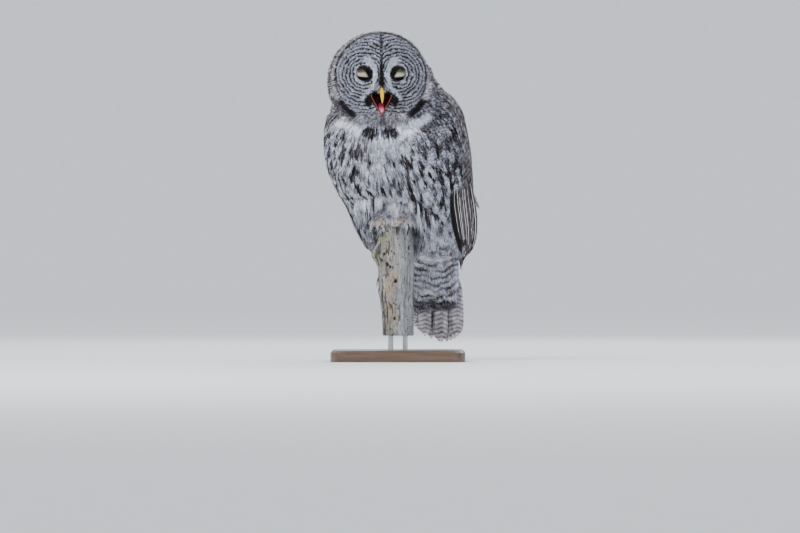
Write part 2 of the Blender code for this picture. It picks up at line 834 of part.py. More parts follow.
def wing_core(name, side, feathers):
    """The arm of the folded wing, as a shell that hugs the torso."""
    outer = []
    inner = []
    for i in range(WING_CORE_ROWS + 1):
        share = WING_CORE_FOOT + (WING_TOP - WING_CORE_FOOT) * i / WING_CORE_ROWS
        high = min(1.0, WING_EDGE + WING_TOP_RISE * (1 - i / WING_CORE_ROWS))
        outer_row = []
        inner_row = []
        for j in range(WING_CORE_COLUMNS + 1):
            across = j / WING_CORE_COLUMNS
            edge = min(1.0, WING_EDGE + WING_EDGE_RISE * min(across, 1 - across))
            outer_row.append(wing_point(side, share, across, WING_THICK * high * edge))
            inner_row.append(wing_point(side, share, across, WING_REST))
        outer.append(outer_row)
        inner.append(inner_row)
    return slab(name, outer, inner, feathers)


def wing(name, side, feathers):
    """The folded wing: tiers of flight feathers and coverts over the arm."""
    made = wing_core(name, side, feathers)
    vanes = []
    for tier in WING_TIERS:
        count = tier["count"]
        first, last = tier["across"]
        half = WING_OVERLAP * (last - first) / (count - 1)
        for number in range(count):
            part = number / (count - 1)
            middle = first + (last - first) * part

            def place(share, sideways, across, along, depth):
                stands = lift_at(along, tier["lift"]) + shingle(across)
                return wing_point(side, share, middle + sideways, stands - depth)

            tip = float(np.interp(part, tier["tip_at"], tier["tips"]))
            vanes.append(vane(tier["rows"], place, tier["root"], tip, half, feathers))
    fuse(made, vanes)
    return made


def tail_tip(left):
    """Height of the tail's end at a distance from its middle: rounded, and a little skewed."""
    return TAIL_TIP + TAIL_ROUNDING * (left - TAIL_SKEW) ** 2


def tail_core_point(height, angle, out=0.0):
    """A point round the core of the tail, angle from the front towards the left."""
    share = (TAIL_CORE_TOP - height) / (TAIL_CORE_TOP - TAIL_CORE_FOOT)
    back, front, width, slope = blend_rows(TAIL_CORE, share)
    forward = (back + front) / 2 + ((front - back) / 2 + out) * math.cos(angle)
    rise = slope * (back - forward) / (front - back)
    return body_point(forward, (width + out) * math.sin(angle), height + rise)


def tail(feathers):
    """The tail: coverts in tiers over a core, and twelve long feathers, the middle pair hindmost."""
    rings = []
    for i in range(TAIL_CORE_RINGS + 1):
        height = TAIL_CORE_TOP + (TAIL_CORE_FOOT - TAIL_CORE_TOP) * i / TAIL_CORE_RINGS
        angles = [2 * math.pi * j / TAIL_SIDES for j in range(TAIL_SIDES)]
        rings.append([tail_core_point(height, angle) for angle in angles])
    made = loft("tail", rings, feathers)
    vanes = []
    for side in (-1, 1):
        for number in range(TAIL_PAIRS):
            middle = side * (TAIL_FIRST + TAIL_STEP * number)
            # The middle pair lies one feather on the other.
            level = -1 if number == 0 and side < 0 else number
            layer = TAIL_BACK + TAIL_LAYER * level

            def place(height, sideways, across, along, depth):
                left = middle + sideways
                # The side nearer the middle of the tail lies a little further back.
                tilt = TAIL_TILT * TAIL_LAYER * side * across
                forward = layer + tilt + TAIL_CURVE * left * left - depth
                return body_point(forward + TAIL_ROOT_SINK * (1 - along) ** 2, left, height)

            tip = tail_tip(middle)
            vanes.append(vane(COVERT_ROWS, place, TAIL_ROOT, tip, TAIL_FEATHER_HALF_WIDTH, feathers))
    for tier in TAIL_TIERS:
        first, last = tier["angles"]
        count = tier["count"]
        half = TAIL_OVERLAP * (last - first) / (count - 1)
        for number in range(count):
            part = number / (count - 1)
            middle = first + (last - first) * part

            def place(height, sideways, across, along, depth):
                stands = lift_at(along, tier["lift"]) + shingle(across)
                return tail_core_point(height, math.radians(middle + sideways), stands - depth)

            tip = tier["tip"] + tier["drop"] * (2 * part - 1) ** 2
            vanes.append(vane(COVERT_ROWS, place, tier["root"], tip, half, feathers))
    fuse(made, vanes)
    return made


def stem_radius(height, angle):
    """The stem's radius: flutes down the wood, and a knob on the bird's right side."""
    share = (height - STEM_FOOT) / (STEM_TOP - STEM_FOOT)
    heights, _, radii = zip(*STEM_PROFILE)
    radius = float(np.interp(height, heights, radii))
    for depth, count, turn in STEM_FLUTES:
        radius += depth * math.sin(count * angle + turn * share)
    off = (height - KNOB_HEIGHT) / KNOB_HALF_HEIGHT
    turned = (angle - KNOB_ANGLE) / KNOB_HALF_ANGLE
    return radius + KNOB_RISE * math.exp(-(off**2) - turned**2)


def beside(centre, angle, radius, height):
    """A point beside an upright axis in the stem's plane: angle from the face's side to the bird's left."""
    return Vector((centre + radius * math.sin(angle), -radius * math.cos(angle), height))


def stem(wood):
    """The cut length of dead stem, worn round its top edge."""
    heights, centres, _ = zip(*STEM_PROFILE)
    angles = [2 * math.pi * j / STEM_SIDES - math.pi for j in range(STEM_SIDES)]
    rings = []
    for height, wear in [(height, 0.0) for height in STEM_HEIGHTS] + [(STEM_TOP, STEM_WEAR)]:
        centre = float(np.interp(height, heights, centres))
        rings.append([beside(centre, a, stem_radius(height, a) - wear, height) for a in angles])
    return loft("perch_stem", rings, wood)


def upright(name, heel, sections, skin):
    """A rounded upright form over the heel, through sections of height and radius."""
    path = [heel + Vector((0, 0, level)) for level, _ in sections]
    return tube(name, path, [radius for _, radius in sections], LEG_SIDES, skin)


def round_rim(path, azimuth):
    """The points and radii of a path over the stem's rim at one azimuth."""
    turn = math.radians(azimuth)
    points = [beside(STEM_AXIS, turn, away, STEM_TOP + height) for away, height, _ in path]
    return points, [radius for _, _, radius in path]


def foot(name, side, feathers, claw_skin, torso, perch):
    """A feathered foot whose toes bend over the stem's rim, each with its claw, under a short leg."""
    heel = body_point(HEEL[0], side * HEEL[1], STEM_TOP + HEEL[2])
    pad = upright(f"foot_{name}", heel, PAD, feathers)
    for number, azimuth in enumerate(TOES[name], 1):
        points, radii = round_rim(TOE_PATH, azimuth)
        over = [heel, heel.lerp(points[0], TOE_LEAVES)] + points[1:]
        combine(pad, tube("toe", over, [TOE_ROOT_RADIUS] + radii, TOE_SIDES, feathers), "UNION")
        hook, radii = round_rim(CLAW_PATH, azimuth)
        claw = tube(f"claw_{name}_{number}", hook, radii, CLAW_SIDES, claw_skin)
        cut_by(claw, pad, perch)
    cut_by(pad, perch)
    cut_by(torso, upright(f"leg_{name}", heel, SHIN, feathers))


def room_for_perch(torso, feathers):
    """Hollows the belly's feathers out round the stem's top and the feet."""
    path = [Vector((STEM_AXIS, 0, height)) for height in (ROOM_FOOT, ROOM_TOP)]
    combine(torso, tube("room", path, [ROOM_RADIUS] * 2, ROOM_SIDES, feathers), "DIFFERENCE")


def base(wood):
    """A square base with round corners and a bevelled top edge."""
    half = BASE_SIDE / 2
    inset = half - BASE_CORNER
    points = []
    for number, (x, y) in enumerate(((1, 1), (-1, 1), (-1, -1), (1, -1))):
        for i in range(CORNER_STEPS + 1):
            angle = math.pi / 2 * (number + i / CORNER_STEPS)
            across = BASE_CORNER * math.cos(angle)
            points.append((x * inset + across, y * inset + BASE_CORNER * math.sin(angle)))
    rings = []
    for shrink, height in ((0.0, 0.0), (0.0, BASE_THICK - BASE_BEVEL), (BASE_BEVEL, BASE_THICK)):
        scale = (half - shrink) / half
        rings.append([Vector((x * scale, y * scale, height)) for x, y in points])
    return loft("stand_base", rings, wood)


def rods(steel):
    """Two short rods from the base up to the stem's cut foot."""
    angles = [2 * math.pi * j / ROD_SIDES for j in range(ROD_SIDES)]
    for side, name in ((-1, "right"), (1, "left")):
        middle = side * ROD_SPACING / 2
        levels = (BASE_THICK + GAP, STEM_FOOT - GAP)
        rings = [[beside(middle, angle, ROD_RADIUS, level) for angle in angles] for level in levels]
        loft(f"stand_rod_{name}", rings, steel)


def build():
    clear_scene()
    feathers = material("feathers", (0.42, 0.41, 0.41), 0.9)
    eye_skin = material("eye", (0.75, 0.55, 0.05), 0.15)
    lid_skin = material("eyelid", (0.70, 0.68, 0.62), 0.8)
    bill_skin = material("bill", (0.80, 0.58, 0.12), 0.35)
    tongue_skin = material("mouth", (0.72, 0.20, 0.28), 0.4)
    claw_skin = material("claw", (0.03, 0.028, 0.026), 0.3)
    wood = material("stem_wood", (0.45, 0.42, 0.38), 0.9)
    base_wood = material("base_wood", (0.16, 0.10, 0.06), 0.45)
    steel = material("rod_steel", (0.55, 0.55, 0.55), 0.35, 1.0)

    torso = torso_solid(feathers)
    combine(torso, head_solid(feathers), "UNION")
    room_for_perch(torso, feathers)
    neck = halves(torso, NECK_CUT, "neck")
    head = halves(neck, HEAD_CUT, "head")
    eyes(head, eye_skin, lid_skin)
    mouth(head, bill_skin, tongue_skin)
    ruff(head, feathers)
    cut_by(head, neck)
    tail(feathers)
    for side, name in ((-1, "right"), (1, "left")):
        cut_by(wing(f"wing_{name}", side, feathers), head)
    perch = stem(wood)
    foot("right", -1, feathers, claw_skin, torso, perch)
    foot("left", 1, feathers, claw_skin, torso, perch)
    base(base_wood)
    rods(steel)


build()
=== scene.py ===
"""Looks of the life-size great grey owl: feathers, lids, bill, claws, dead stem and stand.

Metres, in the frame's own axes. The owl faces -Y. Head points are (right, forward, up) from the middle
of the facial disc, and body points are (forward, left, height).
"""

import math

import bmesh
import bpy
import numpy as np
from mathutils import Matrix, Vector, noise
from mathutils.bvhtree import BVHTree


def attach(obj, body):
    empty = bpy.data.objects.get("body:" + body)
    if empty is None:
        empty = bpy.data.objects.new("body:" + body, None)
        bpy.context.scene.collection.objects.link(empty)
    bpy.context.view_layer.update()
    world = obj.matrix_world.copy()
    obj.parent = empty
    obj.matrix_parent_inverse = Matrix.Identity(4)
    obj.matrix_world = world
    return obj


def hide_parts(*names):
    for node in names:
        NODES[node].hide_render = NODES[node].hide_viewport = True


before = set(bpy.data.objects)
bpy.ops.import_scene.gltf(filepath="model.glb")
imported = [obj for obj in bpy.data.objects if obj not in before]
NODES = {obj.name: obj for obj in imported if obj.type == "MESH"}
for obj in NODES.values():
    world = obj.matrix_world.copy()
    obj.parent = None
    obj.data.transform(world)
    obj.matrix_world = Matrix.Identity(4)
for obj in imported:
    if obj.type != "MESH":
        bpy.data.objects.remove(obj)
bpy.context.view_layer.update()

chance = np.random.default_rng(11)

# Camera: width of the view at the owl, its middle, and how far away the camera stands
VIEW_WIDTH = 1.552
VIEW_X = 0.004
VIEW_Z = 0.184
VIEW_AWAY = 12.0
SENSOR = 36.0

# Body and head, as the solids have them
BODY_YAW = math.radians(25)
TORSO_PROFILE = [
    (-0.168, 0.205, -0.105, 0.190, 0.068),
    (-0.161, 0.237, -0.046, 0.207, 0.105),
    (-0.154, 0.272, -0.014, 0.245, 0.121),
    (-0.147, 0.312, 0.036, 0.296, 0.127),
    (-0.138, 0.352, 0.076, 0.316, 0.130),
    (-0.125, 0.395, 0.110, 0.345, 0.136),
    (-0.108, 0.435, 0.128, 0.385, 0.139),
    (-0.092, 0.475, 0.134, 0.428, 0.136),
    (-0.078, 0.512, 0.124, 0.470, 0.127),
    (-0.059, 0.543, 0.104, 0.510, 0.110),
    (-0.041, 0.569, 0.078, 0.547, 0.081),
    (-0.024, 0.588, 0.058, 0.577, 0.054),
    (-0.004, 0.598, 0.030, 0.594, 0.022),
]
TORSO_LENGTH = 0.400
HEAD_YAW = math.radians(5)
HEAD_X = -0.037
HEAD_Y = -0.048
HEAD_Z = 0.5505
DISC_HALF_WIDTH = 0.085
DISC_HALF_HEIGHT = 0.0805
EYE_SIDE = 0.0330
EYE_UP = 0.0040
EYE_DEPTH = 0.0440
EYE_RADIUS = 0.0115
GAPE_HALF_WIDTH = 0.0205
GAPE_UP = -0.0375
GAPE_FRONT = 0.0620
JAW_TIP_UP = -0.0750
JAW_FRONT = 0.0755
JAW_BACK = 0.0450

# Wings, as shares of the torso's length and degrees round it from the front: the front edge and the rear
# one, how far the right wing's front edge lies behind, and how far the left wing's feathers lie before it
WING_TOP = 0.80
WING_FOOT = -0.06
WING_OUTLINE = [
    (100, 122, 0, 0),
    (76, 140, 0, 6),
    (60, 158, 0, 9),
    (61, 167, 2, 9),
    (67, 170, 8, 6),
    (70, 168, 13, 2),
    (70, 160, 16, 0),
    (74, 150, 16, 0),
    (96, 122, 6, 0),
]
SHINGLE = 0.0016

# Tail
TAIL_TIP = 0.036
TAIL_ROUNDING = 9.0
TAIL_SKEW = 0.018
TAIL_CORE_TOP = 0.2047
TAIL_CORE_FOOT = 0.095
TAIL_CORE = [
    (-0.1675, -0.1070, 0.0670, 0.0150),
    (-0.1690, -0.1230, 0.0645, 0.0120),
    (-0.1690, -0.1420, 0.0600, 0.0060),
    (-0.1655, -0.1580, 0.0500, 0.0010),
]
TAIL_BACK = -0.1725
TAIL_LAYER = 0.0012
TAIL_CURVE = 0.9
TAIL_STEP = 0.0090
TAIL_ROOT = 0.125
TAIL_ROOT_SINK = 0.010
TAIL_FEATHER_HALF_WIDTH = 0.0145
# Layers of the tail's feathers that lie in front of all others, by their number from the middle
TAIL_FRONT = {1: 6, 5: 7}

STEM_TOP = 0.270
STEM_AXIS = -0.005
DOME_X = -0.0068
DOME_Z = 0.262
DOME_WIDTH = 0.0455
DOME_HEIGHT = 0.056

# Skin under the coat
SKIN_VOXEL = 0.0028
COAT_DEPTH = 0.0055
PATCH = 0.003
PATH_STEPS = 5


def unit(vectors):
    return vectors / np.maximum(np.linalg.norm(vectors, axis=-1, keepdims=True), 1e-9)


def soft(values, low, high):
    """A smooth step from 0 at low to 1 at high."""
    part = np.clip((values - low) / (high - low), 0.0, 1.0)
    return part * part * (3 - 2 * part)


def cloud(points, size, seed=0.0):
    """Smooth noise from about -1 to 1 with features of a size, or of a size along each axis."""
    scaled = points / np.asarray(size) + seed
    return np.fromiter((noise.noise(Vector(p)) for p in scaled), float, len(scaled)) * 1.6


def to_head(points):
    """World points as right, forward and up from the middle of the disc."""
    sine, cosine = math.sin(HEAD_YAW), math.cos(HEAD_YAW)
    x = points[..., 0] - HEAD_X
    y = points[..., 1] - HEAD_Y
    return cosine * x + sine * y, sine * x - cosine * y, points[..., 2] - HEAD_Z


def from_head(right, forward, up):
    sine, cosine = math.sin(HEAD_YAW), math.cos(HEAD_YAW)
    x = HEAD_X + cosine * right + sine * forward
    y = HEAD_Y + sine * right - cosine * forward
    return np.stack(np.broadcast_arrays(x, y, HEAD_Z + up), -1)


def head_way(right, forward, up):
    """A direction of the head's frame in the world."""
    return from_head(right, forward, up) - from_head(0.0, 0.0, 0.0)


def to_body(points):
    """World points as forward, left and height."""
    sine, cosine = math.sin(BODY_YAW), math.cos(BODY_YAW)
    x, y = points[..., 0], points[..., 1]
    return -sine * x - cosine * y, cosine * x - sine * y, points[..., 2]


def from_body(forward, left, height):
    sine, cosine = math.sin(BODY_YAW), math.cos(BODY_YAW)
    x = -sine * forward + cosine * left
    y = -cosine * forward - sine * left
    return np.stack(np.broadcast_arrays(x, y, height), -1)


def body_way(forward, left, height):
    """A direction of the body's frame in the world."""
    return from_body(forward, left, height) - from_body(0.0, 0.0, 0.0)


def blend_rows(rows, share):
    """The row at a share from 0 to 1 along a table, on a smooth curve through its rows."""
    table = np.array(rows, float)
    place = min(max(share, 0.0), 1.0) * (len(table) - 1)
    first = min(int(place), len(table) - 2)
    part = place - first
    before = table[max(first - 1, 0)]
    start = table[first]
    end = table[first + 1]
    after = table[min(first + 2, len(table) - 1)]
    square = part * part
    cube = square * part
    return (
        (2 * cube - 3 * square + 1) * start
        + (cube - 2 * square + part) * (end - before) / 2
        + (3 * square - 2 * cube) * end
        + (cube - square) * (after - start) / 2
    )


def torso_point(share, angle):
    """A point round the torso: share along it from the tail, angle from the front towards the left."""
    back_f, back_z, front_f, front_z, width = blend_rows(TORSO_PROFILE, share)
    forward = (back_f + front_f) / 2 + (front_f - back_f) / 2 * math.cos(angle)
    height = (back_z + front_z) / 2 + (front_z - back_z) / 2 * math.cos(angle)
    return from_body(forward, width * math.sin(angle), height + min(share, 0.0) * TORSO_LENGTH)


def tail_core_point(height, angle):
    share = (TAIL_CORE_TOP - height) / (TAIL_CORE_TOP - TAIL_CORE_FOOT)
    back, front, width, slope = blend_rows(TAIL_CORE, share)
    forward = (back + front) / 2 + (front - back) / 2 * math.cos(angle)
    rise = slope * (back - forward) / (front - back)
    return from_body(forward, width * math.sin(angle), height + rise)


class Sheet:
    """A surface known on a grid over u and v from 0 to 1, read smoothly between its points."""

    def __init__(self, point, rows, columns, outward):
        grid = [[point(i / rows, j / columns) for j in range(columns + 1)] for i in range(rows + 1)]
        self.points = np.array(grid)
        turned = np.cross(np.gradient(self.points, axis=0), np.gradient(self.points, axis=1))
        self.normals = unit(turned)
        away = self.points[rows // 2, columns // 2] - outward
        if np.dot(self.normals[rows // 2, columns // 2], away) < 0:
            self.normals = -self.normals

    def at(self, u, v, out):
        """Points and normals at u and v, standing off by out."""
        rows, columns = self.points.shape[0] - 1, self.points.shape[1] - 1
        i, j = np.clip(u, 0, 1) * rows, np.clip(v, -0.05, 1.05) * columns
        i0 = np.clip(i.astype(int), 0, rows - 1)
        j0 = np.clip(j.astype(int), 0, columns - 1)
        a, b = (i - i0)[..., None], (j - j0)[..., None]

        def read(grid):
            low = grid[i0, j0] * (1 - b) + grid[i0, j0 + 1] * b
            high = grid[i0 + 1, j0] * (1 - b) + grid[i0 + 1, j0 + 1] * b
            return low * (1 - a) + high * a

        normals = unit(read(self.normals))
        return read(self.points) + normals * np.asarray(out)[..., None], normals


def link(name, mesh):
    obj = bpy.data.objects.new(name, mesh)
    bpy.context.scene.collection.objects.link(obj)
    return obj


def mesh_from(name, points, triangles):
    """A mesh of triangles from arrays."""
    mesh = bpy.data.meshes.new(name)
    mesh.vertices.add(len(points))
    mesh.vertices.foreach_set("co", np.asarray(points, np.float32).ravel())
    mesh.loops.add(3 * len(triangles))
    mesh.loops.foreach_set("vertex_index", np.asarray(triangles, np.int32).ravel())
    mesh.polygons.add(len(triangles))
    mesh.polygons.foreach_set("loop_start", np.arange(0, 3 * len(triangles), 3, dtype=np.int32))
    mesh.update(calc_edges=True)
    mesh.shade_smooth()
    return mesh


def set_fields(mesh, fields):
    for name, values in fields.items():
        layer = mesh.attributes.new(name, "FLOAT", "POINT")
        layer.data.foreach_set("value", np.asarray(values, np.float32))


def set_uv(mesh, places):
    """The map that a bake uses, from one place for each vertex."""
    corner = np.empty(len(mesh.loops), np.int32)
    mesh.loops.foreach_get("vertex_index", corner)
    layer = mesh.uv_layers.new(name="OFBake")
    layer.data.foreach_set("uv", places[corner].astype(np.float32).ravel())


def coordinates(mesh):
    points = np.empty(3 * len(mesh.vertices), np.float32)
    mesh.vertices.foreach_get("co", points)
    return points.reshape(-1, 3).astype(float)


def loft(name, rings, closed_ends=True):
    """A closed solid through rings of points that turn anticlockwise as seen from the last ring."""
    rings = np.asarray(rings, float)
    count = rings.shape[1]
    points = rings.reshape(-1, 3)
    faces = []
    for i in range(len(rings) - 1):
        for j in range(count):
            k = (j + 1) % count
            a, b = i * count + j, i * count + k
            faces += [(a, b, b + count), (a, b + count, a + count)]
    if closed_ends:
        for i, turn in ((0, -1), (len(rings) - 1, 1)):
            points = np.vstack([points, rings[i].mean(0)])
            for j in range(count):
                pair = (i * count + j, i * count + (j + 1) % count)[::turn]
                faces.append((*pair, len(points) - 1))
    obj = link(name, mesh_from(name, points, faces))
    built = bmesh.new()
    built.from_mesh(obj.data)
    bmesh.ops.recalc_face_normals(built, faces=built.faces)
    built.to_mesh(obj.data)
    built.free()
    return obj


# Markings

# Dark streaks to a radian round the breast, and how strong they are at each height
STREAK_COUNT = 8.0
STREAK_HEIGHTS = [0.20, 0.245, 0.28, 0.345, 0.375, 0.41, 0.44]
STREAK_STRENGTHS = [0.15, 0.40, 0.85, 0.92, 0.75, 0.50, 0.25]
RING_STEP = 0.0066
# How far out the painted rim lies against the solid's ridge
RIM_REACH = 1.06
UNDER_STEP = 0.0130
# The white collar, as the brow below
COLLAR = [(0.010, -0.121, 0.0130), (0.045, -0.108, 0.0110), (0.088, -0.080, 0.0080)]
# The pale brow and the stripe below it: side, up and half width
BROW = [
    (0.0360, 0.0300, 0.0025),
    (0.0250, 0.0320, 0.0064),
    (0.0165, 0.0190, 0.0060),
    (0.0128, 0.0010, 0.0042),
    (0.0150, -0.0170, 0.0034),
    (0.0360, -0.0430, 0.0042),
]


def near_segment(right, up, start, end, widths):
    """1 on a tapered bar between two points of the face, falling to 0 at its edges."""
    start, end = np.array(start), np.array(end)
    way = end - start
    part = ((right - start[0]) * way[0] + (up - start[1]) * way[1]) / way.dot(way)
    part = np.clip(part, 0, 1)
    away = np.hypot(right - start[0] - way[0] * part, up - start[1] - way[1] * part)
    width = widths[0] + (widths[1] - widths[0]) * part
    return 1 - soft(away / width, 0.7, 1.25)


def near_oval(right, up, middle, radii, edge=0.25):
    away = np.hypot((right - middle[0]) / radii[0], (up - middle[1]) / radii[1])
    return 1 - soft(away, 1 - edge, 1 + edge)


def along_line(right, up, line):
    """1 on a line of points of the face, each given with the line's half width there."""
    made = np.zeros(len(right))
    for (*start, near), (*end, far) in zip(line, line[1:]):
        made = np.maximum(made, near_segment(right, up, start, end, (near, far)))
    return made


def face_marks(points, marks):
    """The disc: rings round the eyes, pale brows and lores, a black midline, dark rim and crescents, painted shade over
    the open mouth and a little painted shade on its right half.
    """
    right, forward, up = to_head(points)
    side = np.abs(right)
    across, rise = side - EYE_SIDE, up - EYE_UP
    away = np.hypot(across, rise)
    grain = cloud(points, 0.0035, 3.0)
    blotch = cloud(points, 0.012, 8.0)
    ragged = 0.0022 * cloud(points, 0.0030, 27.0)
    reach = np.hypot(right / DISC_HALF_WIDTH, up / DISC_HALF_HEIGHT) / RIM_REACH
    angle = np.degrees(np.arctan2(side, up))
    # The last term is painted shade: the half of the disc towards +right is a little darker.
    tone = 0.30 + 0.14 * grain + 0.08 * blotch + 0.06 * soft(right, -0.02, 0.03)
    bars = 0.62 * soft(away, 0.0145, 0.019) * (1 - 0.45 * soft(reach, 0.70, 0.95))
    bars = bars * (0.50 + 0.65 * soft(grain, -0.5, 0.7))
    phase = away / RING_STEP + 0.30 * blotch + 0.20 * grain
    warm = np.full(len(points), 0.05)

    def paint(amount, value, warmth=0.0):
        nonlocal tone, bars, warm
        tone = tone * (1 - amount) + value * amount
        bars = bars * (1 - amount)
        warm = warm * (1 - amount) + warmth * amount

    paint(along_line(side + ragged, up + ragged, BROW) * 0.86, 0.06 + 0.12 * grain)
    paint(near_oval(side, up, (0.0090, -0.026), (0.0060, 0.012)) * 0.7, 0.20, 0.25)
    paint(near_oval(side, up + ragged, (0.0125, -0.0345), (0.0050, 0.0055), 0.3), 1.0)
    # A line runs up from the bill between the brows and over the forehead.
    line = near_segment(side, up, (0.0, 0.020), (0.0, 0.078), (0.0022, 0.0030))
    paint(line * soft(cloud(points, 0.006, 29.0), -0.7, 0.0) * 0.8, 0.80)
    paint(near_segment(side + ragged, up, (0.0, -0.014), (0.0, 0.024), (0.0054, 0.0016)), 1.0)
    inner = soft(-across / np.maximum(away, 1e-6), -0.10, 0.35)
    paint((1 - soft(away + ragged, 0.0155, 0.0175)) * inner, 1.0)
    paint((1 - soft(away + ragged, 0.0145, 0.0165)) * soft(rise, 0.004, 0.010), 0.95)
    paint((1 - soft(away, 0.0140, 0.0160)) * soft(-rise, 0.004, 0.009) * soft(-across, -0.008, 0.002), 0.95)
    paint(near_oval(side + ragged, up + 2 * ragged, (0.0245, -0.0475), (0.0070, 0.0112), 0.35), 1.0)
    # Painted shade: all that lies over the open mouth is painted black, as the shade inside it.
    paint(near_oval(side, up, (0.0, -0.0480), (0.0170, 0.0145), 0.15), 1.0)
    # The rim is a brown line, with a black crescent below on each side.
    broken = soft(cloud(points, 0.006, 21.0), -0.9, 0.1)
    rim = soft(reach, 0.950, 0.970) * (1 - soft(reach, 0.985, 1.005))
    specks = soft(cloud(points, 0.0028, 37.0), 0.0, 0.7)
    paint(soft(reach, 0.985, 1.0), 0.12 + 0.55 * specks, 0.30)
    paint(rim * (0.45 + 0.5 * broken) * (1 - soft(angle, 90, 130)), 0.90, 0.5)
    crescent = soft(reach, 0.975, 1.01) * (1 - soft(reach, 1.10, 1.15))
    crescent *= soft(angle + 900 * ragged, 116, 123) * (1 - soft(angle + 900 * ragged, 143, 151))
    paint(crescent, 1.0)
    # The chin is soft and grey, with a darker line down its middle.
    paint(near_oval(right, up, (0.0, -0.088), (0.036, 0.020)) * 0.9, 0.41 + 0.22 * grain, 0.24)
    paint(near_segment(right, up, (0.001, -0.078), (0.002, -0.104), (0.004, 0.008)) * 0.6, 0.68, 0.2)
    amount = soft(forward, 0.028, 0.040) * (1 - soft(reach, 1.10, 1.17))
    for name, values in (("tone", tone), ("bars", bars), ("warm", warm), ("streak", 0.0), ("local", 0.0)):
        marks[name] = marks[name] * (1 - amount) + values * amount
    marks["phase"] = np.where(amount > 0.5, phase, marks["phase"])


def throat_marks(points, marks):
    """The white collar under the disc, and the black bib on its middle."""
    right, forward, up = to_head(points)
    front = soft(forward, -0.010, 0.012)
    ragged = 0.0065 * cloud(points, (0.0036, 0.0036, 0.0090), 31.0)
    collar = along_line(np.abs(right), up + ragged, COLLAR) * front
    specks = 1 - 0.60 * soft(cloud(points, 0.0024, 33.0), 0.1, 0.6)
    for middle in ((-0.0210, -0.1120), (0.0140, -0.1120)):
        bib = near_oval(right + 0.5 * ragged, up + ragged, middle, (0.0178, 0.0120), 0.22) * front * specks
        notch = near_oval(right, up, (-0.0045, -0.123), (0.0028, 0.012), 0.4)
        marks["bib"] = np.maximum(marks["bib"], bib * (1 - notch))
    for amount, value in ((collar * 0.95, 0.0), (marks["bib"], 1.0)):
        for name, paint in (("tone", value), ("bars", 0.0), ("streak", 0.0), ("warm", 0.03)):
            marks[name] = marks[name] * (1 - amount) + paint * amount


def body_marks(points):
    """The body: pale below with dark streaks in columns, mottled and barred at the sides and behind."""
    forward, left, height = to_body(points)
    axis = -0.06 + (height - 0.30) * 0.5
    round_it = np.arctan2(left, forward - axis)
    turned = np.abs(round_it)
    front = 1 - soft(turned, math.radians(75), math.radians(110))
    wobble = cloud(points, (0.05, 0.05, 0.08), 5.0)
    mottle = cloud(points, 0.012, 17.0)
    fine = cloud(points, 0.005, 23.0)
    # Dark streaks stand in columns round the breast, and spread as they run down.
    spread = 1 + 0.9 * soft(height, 0.35, 0.44)
    columns = 0.5 + 0.5 * np.cos(2 * math.pi * (round_it * spread * STREAK_COUNT + 0.80 * wobble))
    broken = soft(cloud(points, (0.012, 0.012, 0.042), 19.0), -0.75, 0.15)
    strength = np.interp(height, STREAK_HEIGHTS, STREAK_STRENGTHS)
    sides = soft(turned, math.radians(22), math.radians(60)) * soft(height, 0.27, 0.36)
    strength = np.maximum(strength, sides)
    strength = np.maximum(strength, 0.8 * soft(-round_it, math.radians(8), math.radians(30)) * soft(height, 0.20, 0.24))
    pale = near_oval(points[:, 0], height, (-0.026, 0.407), (0.034, 0.026), 0.5)
    pale = np.maximum(pale, near_oval(points[:, 0], height, (-0.036, 0.352), (0.034, 0.020), 0.5)) * front
    streak = soft(columns + 0.20 * fine + 0.12 * mottle, 0.22, 0.80) * broken * strength * (1 - 0.85 * pale)
    # Painted shade: the upper breast on the bird's left, towards the wing, is darker, with fainter streaks and flecks.
    painted_side_shade = sides * soft(round_it, math.radians(28), math.radians(55)) * soft(height, 0.34, 0.40)
    streak *= 1 - 0.62 * painted_side_shade
    flecks = sides * soft(mottle + 0.5 * fine, -0.2, 0.8) * (1 - 0.45 * painted_side_shade)
    tone_front = 0.10 + 0.24 * painted_side_shade + 0.08 * mottle + (0.09 + 0.10 * painted_side_shade) * fine
    tone_front += np.maximum(0.56 * streak, 0.40 * flecks)
    tone_back = 0.36 + 0.20 * mottle + 0.12 * fine
    scallop = 0.0040 * np.abs(np.sin(math.pi * left / 0.030))
    marks = {
        "tone": tone_front * front + tone_back * (1 - front),
        "streak": streak * 0.6 * front + (0.28 + 0.25 * fine) * (1 - front),
        "bars": (0.10 + 0.12 * sides) * front + 0.30 * (1 - front),
        "warm": 0.06 + 0.30 * streak * front + 0.22 * (1 - front),
        "bib": 0.0 * mottle,
        "phase": (height + scallop + 0.0115 * wobble + 0.0030 * mottle + 0.0024 * fine) / UNDER_STEP,
    }
    # Under the tail the bars cross from feather to feather in wavy lines.
    under = (1 - soft(height + 0.012 * mottle, 0.205, 0.240)) * soft(forward, -0.166, -0.150)
    marks["local"] = 1 - under
    level = height + scallop + 0.0040 * mottle + 0.0020 * fine
    band = near_segment(0 * height, level, (0.0, 0.1090), (0.0, 0.1091), (0.0090, 0.0090))
    ripple = 0.09 * np.sin(2 * math.pi * (2.6 * marks["phase"] + 0.35 * fine))
    shade = 0.13 + 0.07 * mottle + ripple + 0.10 * (1 - soft(height, 0.10, 0.15)) + 0.30 * band
    blotch = cloud(points, 0.018, 59.0)
    shade += 0.13 * blotch
    warmth = 0.10 + 0.25 * soft(blotch, 0.0, 0.8)
    for name, value in (("bars", 0.27 + 0.16 * mottle), ("tone", shade), ("streak", 0.0), ("warm", warmth)):
        marks[name] = marks[name] * (1 - under) + value * under
    return marks


